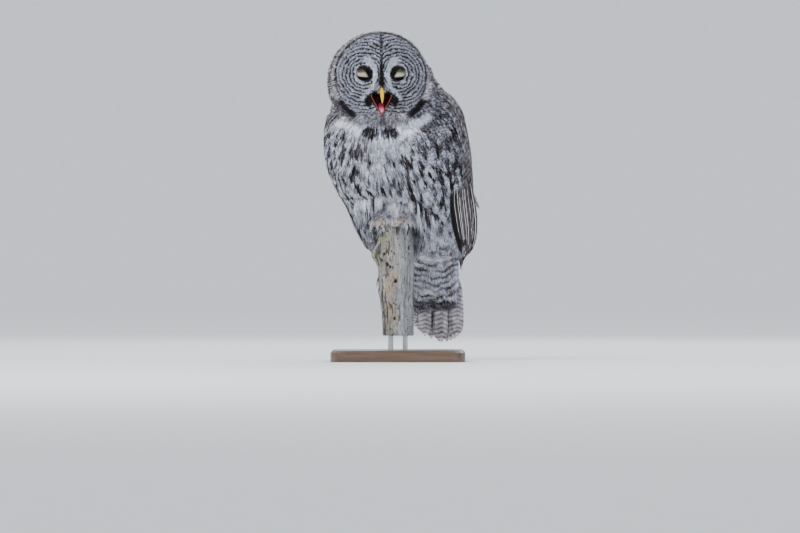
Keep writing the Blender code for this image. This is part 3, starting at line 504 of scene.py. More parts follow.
def crown_marks(points, marks):
    """Crown, nape and the sides of the head: small dark and pale bars and flecks."""
    right, forward, up = to_head(points)
    amount = soft(up, -0.105, -0.075) * (1 - soft(forward, 0.05, 0.06))
    fine = cloud(points, 0.0050, 41.0)
    blotch = cloud(points, 0.011, 43.0)
    patch = near_oval(right, forward, (0.0, 0.040), (0.012, 0.022), 0.4)
    values = {
        "tone": 0.35 + 0.32 * fine + 0.12 * blotch + 0.35 * patch,
        "bars": 0.30,
        "streak": 0.12 + 0.1 * blotch,
        "warm": 0.24,
        "local": 1.0,
    }
    for name, value in values.items():
        marks[name] = marks[name] * (1 - amount) + value * amount


def dome_reach(points):
    """How far points lie from the middle of the dome of pale feathers over the feet, 1 at its edge."""
    return np.hypot((points[:, 0] - DOME_X) / DOME_WIDTH, (points[:, 2] - DOME_Z) / DOME_HEIGHT)


def foot_marks(points, marks):
    """Pale feet under a pale dome, with buff at some of the toes' ends."""
    around = np.hypot(points[:, 0] - STEM_AXIS, points[:, 1])
    behind = soft(points[:, 1], -0.010, 0.005)
    amount = (1 - soft(points[:, 2], 0.306, 0.318)) * (1 - soft(around, 0.0515, 0.0550))
    amount *= behind + (1 - behind) * (1 - soft(points[:, 2], 0.272, 0.282))
    ahead = (points[:, 1] < 0) * (1 - soft(around, 0.085, 0.095))
    amount = np.maximum(amount, ahead * (1 - soft(dome_reach(points), 0.92, 1.04)))
    amount *= soft(points[:, 2], 0.250, 0.258)
    fine = cloud(points, 0.006, 51.0)
    buff = near_oval(points[:, 0], points[:, 2], (-0.036, 0.264), (0.010, 0.010), 0.6)
    buff = np.maximum(buff, near_oval(points[:, 0], points[:, 2], (0.007, 0.268), (0.013, 0.009), 0.6))
    values = {"tone": 0.10 + 0.14 * fine, "bars": 0.0, "streak": 0.0, "warm": 0.16 + 0.50 * buff}
    for name, value in values.items():
        marks[name] = marks[name] * (1 - amount) + value * amount


def markings(points):
    """Every field that the feathers' material reads, at points of the coat or the skin."""
    marks = body_marks(points)
    crown_marks(points, marks)
    throat_marks(points, marks)
    face_marks(points, marks)
    foot_marks(points, marks)
    return {name: marks[name] for name in ("tone", "bars", "streak", "warm", "phase", "local")}


def all_marks(points, fields):
    """Markings at every point of a piece, instead of one for each tuft."""
    fields.update(markings(points))


def fine_marks(points, fields):
    """Fine mottling at every point of a piece, over the marks of its tufts."""
    fields["mottle"] = 0.15 * cloud(points, (0.0042, 0.0042, 0.0060), 97.0)


def neck_marks(points, fields):
    """The collar and the bib at every point of a piece, over the marks of its tufts."""
    fields["mottle"] = 0.07 * cloud(points, (0.0042, 0.0042, 0.0060), 97.0)
    fields["bib"] = np.zeros(len(points))
    throat_marks(points, fields)
    del fields["bib"]


# Materials


class Graph:
    """A material's nodes, built from Python."""

    def __init__(self, name):
        self.material = bpy.data.materials.new(name)
        self.material.use_nodes = True
        self.tree = self.material.node_tree
        self.shader = self.tree.nodes["Principled BSDF"]
        self.place = self.node("ShaderNodeTexCoord").outputs["Object"]

    def node(self, kind, inputs=None, **settings):
        made = self.tree.nodes.new(kind)
        for name, value in settings.items():
            setattr(made, name, value)
        for name, value in (inputs or {}).items():
            self.put(made.inputs[name], value)
        return made

    def put(self, socket, value):
        if isinstance(value, bpy.types.NodeSocket):
            self.tree.links.new(value, socket)
        else:
            socket.default_value = value

    def field(self, name):
        return self.node("ShaderNodeAttribute", attribute_name=name).outputs["Fac"]

    def maths(self, operation, first, second=0.0, clamp=False):
        made = self.node("ShaderNodeMath", {0: first, 1: second}, operation=operation, use_clamp=clamp)
        return made.outputs[0]

    def add(self, *values):
        total = values[0]
        for value in values[1:]:
            total = self.maths("ADD", total, value)
        return total

    def times(self, *values):
        total = values[0]
        for value in values[1:]:
            total = self.maths("MULTIPLY", total, value)
        return total

    def step(self, value, low, high, start=0.0, end=1.0):
        inputs = {"Value": value, "From Min": low, "From Max": high, "To Min": start, "To Max": end}
        return self.node("ShaderNodeMapRange", inputs, interpolation_type="SMOOTHSTEP").outputs[0]

    def speckle(self, scale, detail=2.0, stretch=None, rough=0.5):
        place = self.place
        if stretch:
            place = self.node("ShaderNodeMapping", {"Vector": place, "Scale": stretch}).outputs[0]
        inputs = {"Vector": place, "Scale": scale, "Detail": detail, "Roughness": rough}
        return self.node("ShaderNodeTexNoise", inputs).outputs["Fac"]

    def ramp(self, factor, stops):
        made = self.node("ShaderNodeValToRGB", {"Fac": factor})
        ends = made.color_ramp.elements
        for number, (place, colour) in enumerate(stops):
            spot = ends[number] if number < 2 else ends.new(place)
            spot.position = place
            spot.color = (*colour, 1.0)
        return made.outputs["Color"]

    def mix(self, factor, first, second, blend="MIX"):
        made = self.node("ShaderNodeMix", {"Factor": factor}, data_type="RGBA", blend_type=blend)
        for socket, value in ((made.inputs[6], first), (made.inputs[7], second)):
            self.put(socket, (*value, 1.0) if isinstance(value, tuple) else value)
        return made.outputs[2]

    def finish(self, colour, roughness, height=None, strength=0.3, distance=0.001, **constants):
        self.put(self.shader.inputs["Base Color"], colour)
        self.put(self.shader.inputs["Roughness"], roughness)
        if height is not None:
            inputs = {"Height": height, "Strength": strength, "Distance": distance}
            bump = self.node("ShaderNodeBump", inputs)
            self.put(self.shader.inputs["Normal"], bump.outputs[0])
        for name, value in constants.items():
            self.shader.inputs[name.replace("_", " ")].default_value = value
        return self.material


# Colours of a feather from its palest tone to its darkest, the two ends first
FEATHER_TONES = [
    (0.0, (0.82, 0.86, 0.95)),
    (1.0, (0.006, 0.005, 0.005)),
    (0.26, (0.43, 0.46, 0.56)),
    (0.52, (0.145, 0.146, 0.176)),
    (0.78, (0.036, 0.029, 0.030)),
]


def feather_material():
    """Feathers: a tone from pale to dark, with bars, a streak along the shaft, fine barbs and painted shade towards the
    roots.
    """
    graph = Graph("feathers")
    field, times, add, step = graph.field, graph.times, graph.add, graph.step
    along, edge, local = field("along"), graph.maths("ABSOLUTE", field("across")), field("local")
    grain = graph.speckle(420.0, 3.0)
    wander = add(grain, -0.5)
    own = add(times(along, field("count")), times(edge, -0.60), field("shift"))
    shared = times(field("phase"), graph.maths("SUBTRACT", 1.0, local))
    phase = add(times(own, local), shared, times(wander, 0.5))
    bar = times(step(graph.maths("SINE", times(phase, 2 * math.pi)), -0.15, 0.65), field("bars"))
    shaft = step(add(edge, times(wander, 0.7)), 0.10, 0.62, 1.0, 0.0)
    shaft = times(shaft, step(along, 0.15, 0.45), field("streak"))
    outer = graph.maths("MAXIMUM", step(edge, 0.74, 0.90), step(along, 0.93, 0.985))
    fringe = times(outer, field("fringe"), -1.0)
    barbs = graph.maths("SINE", add(times(along, 170.0), times(edge, 34.0)))
    tint = add(times(wander, 0.34), times(barbs, 0.018), times(field("strand"), 0.13))
    dark = graph.maths("ADD", add(field("tone"), field("mottle"), bar, shaft, fringe), tint, clamp=True)
    colour = graph.ramp(dark, FEATHER_TONES)
    colour = graph.mix(field("warm"), colour, (1.0, 0.70, 0.42), "MULTIPLY")
    # Painted shade: each tuft darkens towards its root, where the tufts over it would shade it.
    depth = step(along, -0.1, 0.50, 0.70, 1.0)
    depth = graph.node("ShaderNodeCombineColor", {0: depth, 1: depth, 2: depth}).outputs[0]
    colour = graph.mix(1.0, colour, depth, "MULTIPLY")
    height = add(times(barbs, 0.5), grain)
    return graph.finish(colour, 0.85, height, 0.25, 0.0004, Sheen_Weight=0.04, Specular_IOR_Level=0.12)


def lid_material():
    """Lids of bare, finely creased skin: pale buff on the outer side and black towards the bill."""
    graph = Graph("eyelid")
    dark = graph.field("dark")
    crease = graph.speckle(900.0, 3.0, (1.0, 1.0, 2.4))
    dark = graph.maths("ADD", dark, graph.maths("MULTIPLY", graph.maths("SUBTRACT", crease, 0.5), 0.5), clamp=True)
    colour = graph.ramp(dark, [(0.0, (0.40, 0.38, 0.29)), (1.0, (0.003, 0.003, 0.003)),
                               (0.40, (0.16, 0.138, 0.088)), (0.75, (0.022, 0.017, 0.012))])
    return graph.finish(colour, 0.7, crease, 0.45, 0.0005, Specular_IOR_Level=0.10)


def bill_material():
    """Horn: ochre yellow, paler towards the tip and greyer at its root."""
    graph = Graph("bill")
    grain = graph.speckle(260.0, 4.0, (1.0, 1.0, 0.25))
    colour = graph.ramp(grain, [(0.25, (0.70, 0.36, 0.006)), (0.75, (0.88, 0.56, 0.015))])
    colour = graph.mix(graph.field("root"), colour, (0.40, 0.27, 0.07))
    colour = graph.mix(graph.field("tip"), colour, (0.86, 0.62, 0.09))
    roughness = graph.step(grain, 0.2, 0.8, 0.36, 0.55)
    return graph.finish(colour, roughness, grain, 0.12, 0.0004, Specular_IOR_Level=0.22)


def flesh_material(name, inner, outer, roughness, wet=0.3):
    """Wet flesh of the mouth, from a deep colour inside to a paler one at its edge, the darkening inwards partly
    painted shade of the mouth's hollow.
    """
    graph = Graph(name)
    grain = graph.speckle(500.0, 3.0)
    amount = graph.maths("ADD", graph.field("edge"), graph.maths("MULTIPLY", graph.maths("SUBTRACT", grain, 0.5), 0.35), clamp=True)
    colour = graph.mix(amount, inner, outer)
    rough = graph.step(grain, 0.2, 0.8, roughness - 0.08, roughness + 0.1)
    return graph.finish(colour, rough, grain, 0.25, 0.0005, Coat_Weight=wet, Specular_IOR_Level=wet)


def claw_material():
    graph = Graph("claw")
    grain = graph.speckle(300.0, 4.0, (1.0, 1.0, 0.3))
    colour = graph.ramp(grain, [(0.2, (0.008, 0.007, 0.007)), (0.8, (0.040, 0.034, 0.030))])
    return graph.finish(colour, graph.step(grain, 0.2, 0.8, 0.30, 0.46), grain, 0.15, 0.0003, Specular_IOR_Level=0.25)


def eye_material():
    """Eyes: dark and finely mottled, under a clear coat."""
    graph = Graph("eye")
    grain = graph.speckle(700.0, 3.0)
    colour = graph.ramp(grain, [(0.3, (0.010, 0.008, 0.006)), (0.8, (0.035, 0.026, 0.010))])
    return graph.finish(colour, graph.step(grain, 0.3, 0.7, 0.06, 0.12), grain, 0.05, 0.0002, Coat_Weight=0.6, Coat_Roughness=0.05)


def stem_material():
    """Weathered dead wood: grey upright grain, black pits, ochre where bark has gone, painted shade in holes and cracks
    and a painted blue shade on one side.
    """
    graph = Graph("stem_wood")
    grain = graph.speckle(95.0, 5.0, (1.0, 1.0, 0.10), 0.62)
    fine = graph.speckle(420.0, 4.0, (1.0, 1.0, 0.22), 0.6)
    pits = graph.speckle(260.0, 2.0, (1.0, 1.0, 0.5), 0.6)
    tone = graph.maths("ADD", graph.maths("MULTIPLY", grain, 0.6), graph.maths("MULTIPLY", fine, 0.4))
    colour = graph.ramp(tone, [(0.34, (0.030, 0.027, 0.026)), (0.70, (0.52, 0.51, 0.49)),
                               (0.43, (0.15, 0.142, 0.136)), (0.54, (0.29, 0.280, 0.265))])
    # Painted shade: the stem's side towards +X is tinted blue and darkened a little, and has fewer black specks.
    colour = graph.mix(graph.times(graph.field("painted_blue_shade"), 0.8), colour, (0.83, 0.89, 1.0), "MULTIPLY")
    ochre = graph.times(graph.field("ochre"), graph.step(grain, 0.34, 0.54))
    colour = graph.mix(ochre, colour, (0.34, 0.25, 0.14))
    colour = graph.mix(graph.field("moss"), colour, (0.20, 0.20, 0.13))
    speck = graph.step(graph.add(pits, graph.times(graph.field("painted_blue_shade"), -0.03)), 0.565, 0.63)
    colour = graph.mix(graph.maths("MULTIPLY", speck, 0.85), colour, (0.030, 0.026, 0.026))
    # Painted shade: the holes and cracks carved into the wood are darkened nearly to black, and the splinters are
    # darkened all over.
    colour = graph.mix(graph.field("hole"), colour, (0.012, 0.009, 0.008))
    height = graph.maths("ADD", graph.maths("MULTIPLY", grain, 1.0), graph.maths("MULTIPLY", fine, 0.6))
    height = graph.maths("SUBTRACT", height, graph.maths("MULTIPLY", speck, 0.6))
    return graph.finish(colour, graph.step(fine, 0.3, 0.7, 0.78, 0.95), height, 0.5, 0.0012)


def base_material():
    """Dark stained wood with a satin finish, its grain along X."""
    graph = Graph("base_wood")
    grain = graph.speckle(60.0, 5.0, (0.07, 1.0, 1.0), 0.6)
    pores = graph.speckle(420.0, 3.0, (0.05, 1.0, 1.0), 0.6)
    colour = graph.ramp(grain, [(0.30, (0.045, 0.026, 0.016)), (0.70, (0.150, 0.088, 0.050))])
    colour = graph.mix(graph.step(pores, 0.56, 0.68, 0.0, 0.6), colour, (0.020, 0.012, 0.008))
    return graph.finish(colour, graph.step(grain, 0.3, 0.7, 0.34, 0.50), pores, 0.15, 0.0004, Coat_Weight=0.15)


def steel_material():
    graph = Graph("rod_steel")
    scratches = graph.speckle(300.0, 3.0, (1.0, 1.0, 0.05))
    colour = graph.ramp(scratches, [(0.3, (0.42, 0.42, 0.43)), (0.7, (0.60, 0.60, 0.61))])
    graph.shader.inputs["Metallic"].default_value = 1.0
    return graph.finish(colour, graph.step(scratches, 0.3, 0.7, 0.26, 0.42), scratches, 0.08, 0.0002)


# Templates of feathers: points as along, across and height, the last two in half widths


def tuft_template(locks, spread, width, seed, ragged=0.22):
    """A tuft of closed three-sided locks that fan out from its root and taper to points."""
    draw = np.random.default_rng(seed)
    points, faces, shades = [], [], []
    middle = (locks - 1) / 2
    for number in range(locks):
        side = (number - middle) / max(middle, 1)
        start = 0.30 * draw.random()
        end = 1 - 0.22 * abs(side) ** 1.4 - ragged * draw.random()
        root = 0.45 * side
        tip = spread * side + draw.normal(0, 0.16)
        sway = draw.normal(0, 0.14)
        wide = width * draw.uniform(0.75, 1.15)
        level = 0.22 * draw.random()
        first = len(points)
        for part, full in ((0.0, 0.75), (0.40, 1.0), (0.76, 0.62)):
            along = start + (end - start) * part
            across = root + (tip - root) * part**1.2 + sway * part * (1 - part)
            drop = level * part - 0.16 * across * across
            half = wide * full
            points += [(along, across - half, drop), (along, across + half, drop), (along, across, drop + half)]
        points.append((end, tip, level - 0.16 * tip * tip))
        faces.append((first, first + 2, first + 1))
        for row in (first, first + 3):
            for one, other in ((0, 1), (1, 2), (2, 0)):
                a, b = row + one, row + other
                faces += [(a, b, b + 3), (a, b + 3, a + 3)]
        last = first + 6
        faces += [(last, last + 1, last + 3), (last + 1, last + 2, last + 3), (last + 2, last, last + 3)]
        shades += [draw.uniform(-1, 1)] * 10
    return np.array(points), np.array(faces), np.array(shades)


def vane_template(rows, notch, seed, camber=0.22, tip_power=2.6, thick=0.05, barbs=True):
    """A feather's vane as a thin closed slab, raised along its shaft and notched along its edges."""
    draw = np.random.default_rng(seed)
    columns = (-1.0, -0.5, 0.0, 0.5, 1.0)
    top = []
    for i in range(rows + 1):
        share = i / rows
        width = min(1.0, 0.55 + 2.2 * share) * (1 - max(0.0, (share - 0.55) / 0.45) ** tip_power) ** 0.6
        width = max(width, 0.06)
        row = []
        for across in columns:
            place, along = across * width, share
            if abs(across) == 1.0 and barbs and 0 < i < rows:
                cut = notch * (i % 2) + 0.5 * notch * draw.random()
                place *= 1 - cut
                along -= 0.35 * cut
            height = -camber * place * place + (0.05 if across == 0.0 else 0.0)
            row.append((along, place, height))
        top.append(row)
    count = len(columns)
    upper = np.array(top).reshape(-1, 3)
    lower = upper - (0, 0, thick)
    size = len(upper)
    faces = []
    for i in range(rows):
        for j in range(count - 1):
            a = i * count + j
            b, c, d = a + 1, a + count + 1, a + count
            faces += [(a, c, b), (a, d, c)]
            faces += [(size + a, size + b, size + c), (size + a, size + c, size + d)]
    ring = list(range(count)) + [i * count + count - 1 for i in range(1, rows + 1)]
    ring += [rows * count + j for j in range(count - 2, -1, -1)] + [i * count for i in range(rows - 1, 0, -1)]
    for a, b in zip(ring, ring[1:] + ring[:1]):
        faces += [(a, b, size + b), (a, size + b, size + a)]
    points = np.vstack([upper, lower])
    faces = np.array(faces)
    # The slab's upper side has to face +height.
    corner = points[faces[0]]
    if np.cross(corner[1] - corner[0], corner[2] - corner[0])[2] < 0:
        faces = faces[:, ::-1]
    return points, faces, np.repeat((1.0, -0.3), size)


def grow(name, paths, normals, half_width, templates, fields, places, material, tilt=None, marks=None):
    """One piece of coat: a template laid along each path, with its fields and its patch of the map."""
    count, steps = paths.shape[:2]
    tangents = unit(np.gradient(paths, axis=1))
    pick = np.arange(count) % len(templates)
    points, faces, uv, values, total = [], [], [], [], 0
    names = list(fields)
    for number, (shape, triangles, shades) in enumerate(templates):
        chosen = np.flatnonzero(pick == number)
        if not len(chosen):
            continue
        place = np.clip(shape[:, 0], 0, 1) * (steps - 1)
        low = np.minimum(place.astype(int), steps - 2)
        part = (place - low)[None, :, None]

        def read(grid):
            return grid[chosen][:, low] * (1 - part) + grid[chosen][:, low + 1] * part

        normal, tangent = unit(read(normals)), unit(read(tangents))
        across = unit(np.cross(normal, tangent))
        half = half_width[chosen][:, None, None]
        made = read(paths) + across * (shape[None, :, 1:2] * half) + normal * (shape[None, :, 2:3] * half)
        if tilt is not None:
            made -= normal * (shape[None, :, 1:2] * tilt[chosen][:, None, None])
        flat = made.reshape(-1, 3)
        size = len(shape)
        points.append(flat)
        starts = total + np.arange(len(chosen)) * size
        faces.append((triangles[None] + starts[:, None, None]).reshape(-1, 3))
        total += len(flat)
        offset = np.stack([shape[:, 1] * 0.5, shape[:, 0] - 0.5], 1) * PATCH
        uv.append((places[chosen][:, None] + offset[None]).reshape(-1, 2))
        each = {key: np.repeat(fields[key][chosen], size) for key in names}
        each["along"] = np.tile(shape[:, 0], len(chosen))
        each["across"] = np.tile(shape[:, 1], len(chosen))
        each["strand"] = np.tile(shades, len(chosen))
        values.append(each)
    points = np.vstack(points)
    merged = {key: np.concatenate([each[key] for each in values]) for key in values[0]}
    merged.setdefault("fringe", np.zeros(len(points)))
    if marks:
        marks(points, merged)
    mesh = mesh_from(name, points, np.vstack(faces))
    set_fields(mesh, merged)
    set_uv(mesh, np.vstack(uv))
    mesh.materials.append(material)
    piece = link(name, mesh)
    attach(piece, "root")
    return piece


# Skin


def make_skin(material):
    """One skin over the owl's flesh, from its solids, drawn in by the depth of the coat."""
    built = bmesh.new()
    for name in ("head", "neck", "torso", "leg_left", "leg_right", "foot_left", "foot_right"):
        built.from_mesh(NODES[name].data)
    sides, rings = 32, 8
    rows = []
    for i in range(rings + 1):
        height = TAIL_CORE_TOP + 0.006 + (TAIL_CORE_FOOT - TAIL_CORE_TOP - 0.006) * i / rings
        rows.append([built.verts.new(tail_core_point(height, 2 * math.pi * j / sides)) for j in range(sides)])
    for upper, lower in zip(rows, rows[1:]):
        for j in range(sides):
            built.faces.new((upper[j], upper[(j + 1) % sides], lower[(j + 1) % sides], lower[j]))
    built.faces.new(rows[0][::-1])
    built.faces.new(rows[-1])
    mesh = bpy.data.meshes.new("owl_skin")
    built.to_mesh(mesh)
    built.free()
    skin = link("owl_skin", mesh)
    remesh = skin.modifiers.new("remesh", "REMESH")
    remesh.mode = "VOXEL"
    remesh.voxel_size = SKIN_VOXEL
    smooth = skin.modifiers.new("smooth", "SMOOTH")
    smooth.factor = 0.5
    smooth.iterations = 5
    graph = bpy.context.evaluated_depsgraph_get()
    mesh = bpy.data.meshes.new_from_object(skin.evaluated_get(graph))
    skin.modifiers.clear()
    skin.data = mesh
    built = bmesh.new()
    built.from_mesh(mesh)
    keep_largest(built)
    built.normal_update()
    points = np.array([v.co for v in built.verts])
    normals = np.array([v.normal for v in built.verts])
    points -= normals * coat_depth(points)[:, None]
    for vertex, point in zip(built.verts, points):
        vertex.co = point
    bmesh.ops.smooth_vert(built, verts=built.verts, factor=0.5, use_axis_x=True, use_axis_y=True, use_axis_z=True)
    bmesh.ops.triangulate(built, faces=built.faces)
    built.to_mesh(mesh)
    built.free()
    mesh.materials.clear()
    mesh.materials.append(material)
    mesh.shade_smooth()
    unwrap(skin)
    points = coordinates(mesh)
    fields = markings(points)
    # The skin reads as lying partway along a tuft, so it takes part of the painted root shade.
    fields["along"] = np.full(len(points), 0.35)
    fields["across"] = np.full(len(points), 0.5)
    fields["count"] = np.full(len(points), 3.0)
    for name in ("shift", "fringe", "strand"):
        fields[name] = np.zeros(len(points))
    set_fields(mesh, fields)
    return skin


def keep_largest(built):
    unseen = set(built.verts)
    groups = []
    while unseen:
        front = [unseen.pop()]
        group = list(front)
        while front:
            for edge in front.pop().link_edges:
                for vertex in edge.verts:
                    if vertex in unseen:
                        unseen.discard(vertex)
                        group.append(vertex)
                        front.append(vertex)
        groups.append(group)
    groups.sort(key=len)
    for group in groups[:-1]:
        bmesh.ops.delete(built, geom=group, context="VERTS")


def unwrap(obj):
    """The skin's own unwrap, named for the bake."""
    obj.data.uv_layers.new(name="OFBake")
    for other in bpy.context.selected_objects:
        other.select_set(False)
    obj.select_set(True)
    bpy.context.view_layer.objects.active = obj
    bpy.ops.object.mode_set(mode="EDIT")
    bpy.ops.mesh.select_all(action="SELECT")
    bpy.ops.uv.smart_project(angle_limit=math.radians(66), island_margin=0.004)
    bpy.ops.object.mode_set(mode="OBJECT")
    obj.select_set(False)


def coat_depth(points):
    """How deep the coat lies over the skin: least on the face and the feet."""
    right, forward, up = to_head(points)
    hollow = near_oval(points[:, 0], points[:, 2], (0.112, 0.550), (0.050, 0.050), 0.6)
    depth = COAT_DEPTH + 0.0090 * hollow
    head = soft(up, -0.11, -0.07) * (1 - soft(points[:, 0], 0.062, 0.075))
    depth = depth * (1 - head) + 0.0050 * head
    face = soft(forward, 0.030, 0.046) * head
    depth = depth * (1 - face) + 0.0014 * face
    around = np.hypot(points[:, 0] - STEM_AXIS, points[:, 1])
    foot = (1 - soft(points[:, 2], 0.302, 0.312)) * (1 - soft(around, 0.048, 0.056))
    return depth * (1 - foot) + 0.0012 * foot


# Coat on the skin

# Region: spacing, length and half width of a tuft, how far its tip stands off the skin, number of locks
STYLES = {
    "face": (0.00235, 0.0085, 0.0017, 0.0024, 3),
    "rim": (0.00330, 0.0150, 0.0026, 0.0042, 3),
    "head": (0.00480, 0.0180, 0.0042, 0.0048, 5),
    "neck": (0.00500, 0.0320, 0.0054, 0.0075, 9),
    "belly": (0.00530, 0.0390, 0.0056, 0.0080, 9),
    "back": (0.00640, 0.0360, 0.0066, 0.0070, 9),
    "tail": (0.00600, 0.0300, 0.0064, 0.0036, 9),
    "feet": (0.00350, 0.0190, 0.0027, 0.0060, 5),
}
REGIONS = list(STYLES)


def regions_of(points):
    """The number of the coat's region at each point."""
    right, forward, up = to_head(points)
    reach = np.hypot(right / DISC_HALF_WIDTH, up / DISC_HALF_HEIGHT)
    body_forward, left, height = to_body(points)
    around = np.hypot(points[:, 0] - STEM_AXIS, points[:, 1])
    axis = -0.06 + (height - 0.30) * 0.5
    angle = np.abs(np.arctan2(left, body_forward - axis))
    region = np.full(len(points), REGIONS.index("belly"))
    region[angle > math.radians(95)] = REGIONS.index("back")
    region[height > 0.425] = REGIONS.index("neck")
    region[(height > 0.425) & (angle > math.radians(115))] = REGIONS.index("back")
    region[(height < 0.222) & (body_forward < -0.045)] = REGIONS.index("tail")
    head = up > -0.085 + 0.25 * (0.05 - forward)
    region[head] = REGIONS.index("head")
    region[head & (forward > 0.026)] = REGIONS.index("rim")
    region[(forward > 0.040) & (reach < 0.97)] = REGIONS.index("face")
    region[(forward > 0.040) & (up < -0.070) & (reach < 1.2)] = REGIONS.index("rim")
    domed = (dome_reach(points) < 1) & (points[:, 1] < 0) & (height > DOME_Z) & (around < 0.085)
    feet = (height < 0.309) & (height > 0.240) & (around < 0.0525)
    feet &= (points[:, 1] > 0) | (height < 0.275)
    feet |= domed
    region[feet] = REGIONS.index("feet")
    return region


def in_mouth(points, margin=0.0006):
    """Whether a point is within the gape's V, seen along the head."""
    right, forward, up = to_head(points)
    across = np.abs(right) / (GAPE_HALF_WIDTH + margin)
    floor = GAPE_UP + (JAW_TIP_UP - margin * 1.5 - GAPE_UP) * (1 - np.minimum(across, 1) ** 1.2)
    return (across < 1) & (up > floor) & (up < GAPE_UP + 0.003) & (forward > 0.02)


def bare(points):
    """Places where no tuft grows: the eyes, the mouth and the bill."""
    right, forward, up = to_head(points)
    eye = (np.abs(right) - EYE_SIDE) ** 2 + (up - EYE_UP) ** 2 + (forward - EYE_DEPTH) ** 2
    horn = np.interp(-up, (0.018, 0.030, 0.045), (0.0015, 0.0040, 0.0048))
    bill = (np.abs(right) < horn) & (up < -0.0180) & (up > -0.045) & (forward > 0.03)
    return (eye < 0.0138**2) | in_mouth(points) | bill


def lie_of(points, normals, region):
    """The way that the coat lies: from the bill over the head, and down the body."""
    right, forward, up = to_head(points)
    side = np.sign(right)
    body_forward, left, height = to_body(points)
    down = np.zeros_like(points)
    down[:, 2] = -1.0
    forward_way, right_way = head_way(0.0, 1.0, 0.0), head_way(1.0, 0.0, 0.0)
    up_way = np.array((0.0, 0.0, 1.0))
    # On the disc they point away from the eyes, and near the midline away from the bill.
    eye = np.stack([right - side * EYE_SIDE, up - EYE_UP], 1)
    bill = np.stack([right, up + 0.018], 1)
    blend = soft(np.abs(right), 0.014, 0.034)[:, None]
    low = soft(-up, 0.045, 0.075)[:, None]
    flat = unit(eye) * blend + unit(bill) * (1 - blend)
    flat = flat * (1 - low) + unit(np.stack([right * 0.6, np.full(len(up), -0.05)], 1)) * low
    face = flat[:, :1] * right_way + flat[:, 1:] * up_way
    radial = unit(np.stack([right, up], 1))
    over = -forward_way + 0.35 * (radial[:, :1] * right_way + radial[:, 1:] * up_way)
    nape = soft(-forward, -0.01, 0.09)[:, None]
    head = over * (1 - nape) + (down * 0.9 - forward_way * 0.5) * nape
    rim = -0.75 * forward_way + radial[:, :1] * right_way + radial[:, 1:] * up_way
    back_way, left_way = body_way(-1.0, 0.0, 0.0), body_way(0.0, 1.0, 0.0)
    fan = np.clip(left / 0.10, -1, 1)[:, None] * 0.50
    sweep = (0.25 + 0.3 * (1 - soft(height, 0.24, 0.34)))[:, None]
    body = down + back_way * sweep + left_way * fan * soft(height, 0.26, 0.36)[:, None]
    outward = points - np.array((STEM_AXIS, 0.0, 0.0))
    outward[:, 2] = 0
    foot = unit(outward) * 0.6 + down * 0.8
    way = body
    for name, value in (("face", face), ("rim", rim), ("head", head), ("feet", foot), ("tail", down)):
        chosen = region == REGIONS.index(name)
        way[chosen] = value[chosen]
    way = way - normals * np.sum(way * normals, axis=1)[:, None]
    return unit(way)


def scatter(skin, hidden):
    """Roots over the skin with each region's spacing: points, normals and places on the map."""
    mesh = skin.data
    points = coordinates(mesh)
    normals = np.empty(3 * len(mesh.vertices), np.float32)
    mesh.vertices.foreach_get("normal", normals)
    normals = normals.reshape(-1, 3).astype(float)
    corners = np.empty(3 * len(mesh.polygons), np.int32)
    mesh.polygons.foreach_get("vertices", corners)
    corners = corners.reshape(-1, 3)
    uv = np.empty(2 * len(mesh.loops), np.float32)
    mesh.uv_layers["OFBake"].data.foreach_get("uv", uv)
    uv = uv.reshape(-1, 3, 2).astype(float)
    corner = points[corners]
    area = np.linalg.norm(np.cross(corner[:, 1] - corner[:, 0], corner[:, 2] - corner[:, 0]), axis=1) / 2
    middle = corner.mean(1)
    spacing = np.array([STYLES[name][0] for name in REGIONS])[regions_of(middle)]
    wanted = area / spacing**2
    wanted[hidden(middle)] = 0
    draws = chance.choice(len(area), size=int(wanted.sum() * 5), p=wanted / wanted.sum())
    weight = chance.random((len(draws), 2))
    over = weight.sum(1) > 1
    weight[over] = 1 - weight[over]
    weight = np.column_stack([1 - weight.sum(1), weight])[:, :, None]
    found = (corner[draws] * weight).sum(1)
    turned = unit((normals[corners[draws]] * weight).sum(1))
    places = (uv[draws] * weight).sum(1)
    region = regions_of(found)
    keep = thin_out(found, np.array([STYLES[name][0] for name in REGIONS])[region] * 0.86)
    keep = keep[~bare(found[keep])]
    keep = keep[(turned[keep, 2] > -0.5) | (region[keep] != REGIONS.index("tail"))]
    return found[keep], turned[keep], places[keep], region[keep]


def thin_out(points, radii):
    """Numbers of the points that keep their distance from those before them."""
    cell = radii.max()
    cells = {}
    kept = []
    keys = np.floor(points / cell).astype(int)
    for number in range(len(points)):
        x, y, z = keys[number]
        point = points[number]
        close = False
        for i in (x - 1, x, x + 1):
            for j in (y - 1, y, y + 1):
                for k in (z - 1, z, z + 1):
                    for other in cells.get((i, j, k), ()):
                        gap = points[other] - point
                        if gap[0] * gap[0] + gap[1] * gap[1] + gap[2] * gap[2] < radii[number] ** 2:
                            close = True
                            break
                    if close:
                        break
                if close:
                    break
            if close:
                break
        if not close:
            kept.append(number)
            cells.setdefault((x, y, z), []).append(number)
    return np.array(kept)


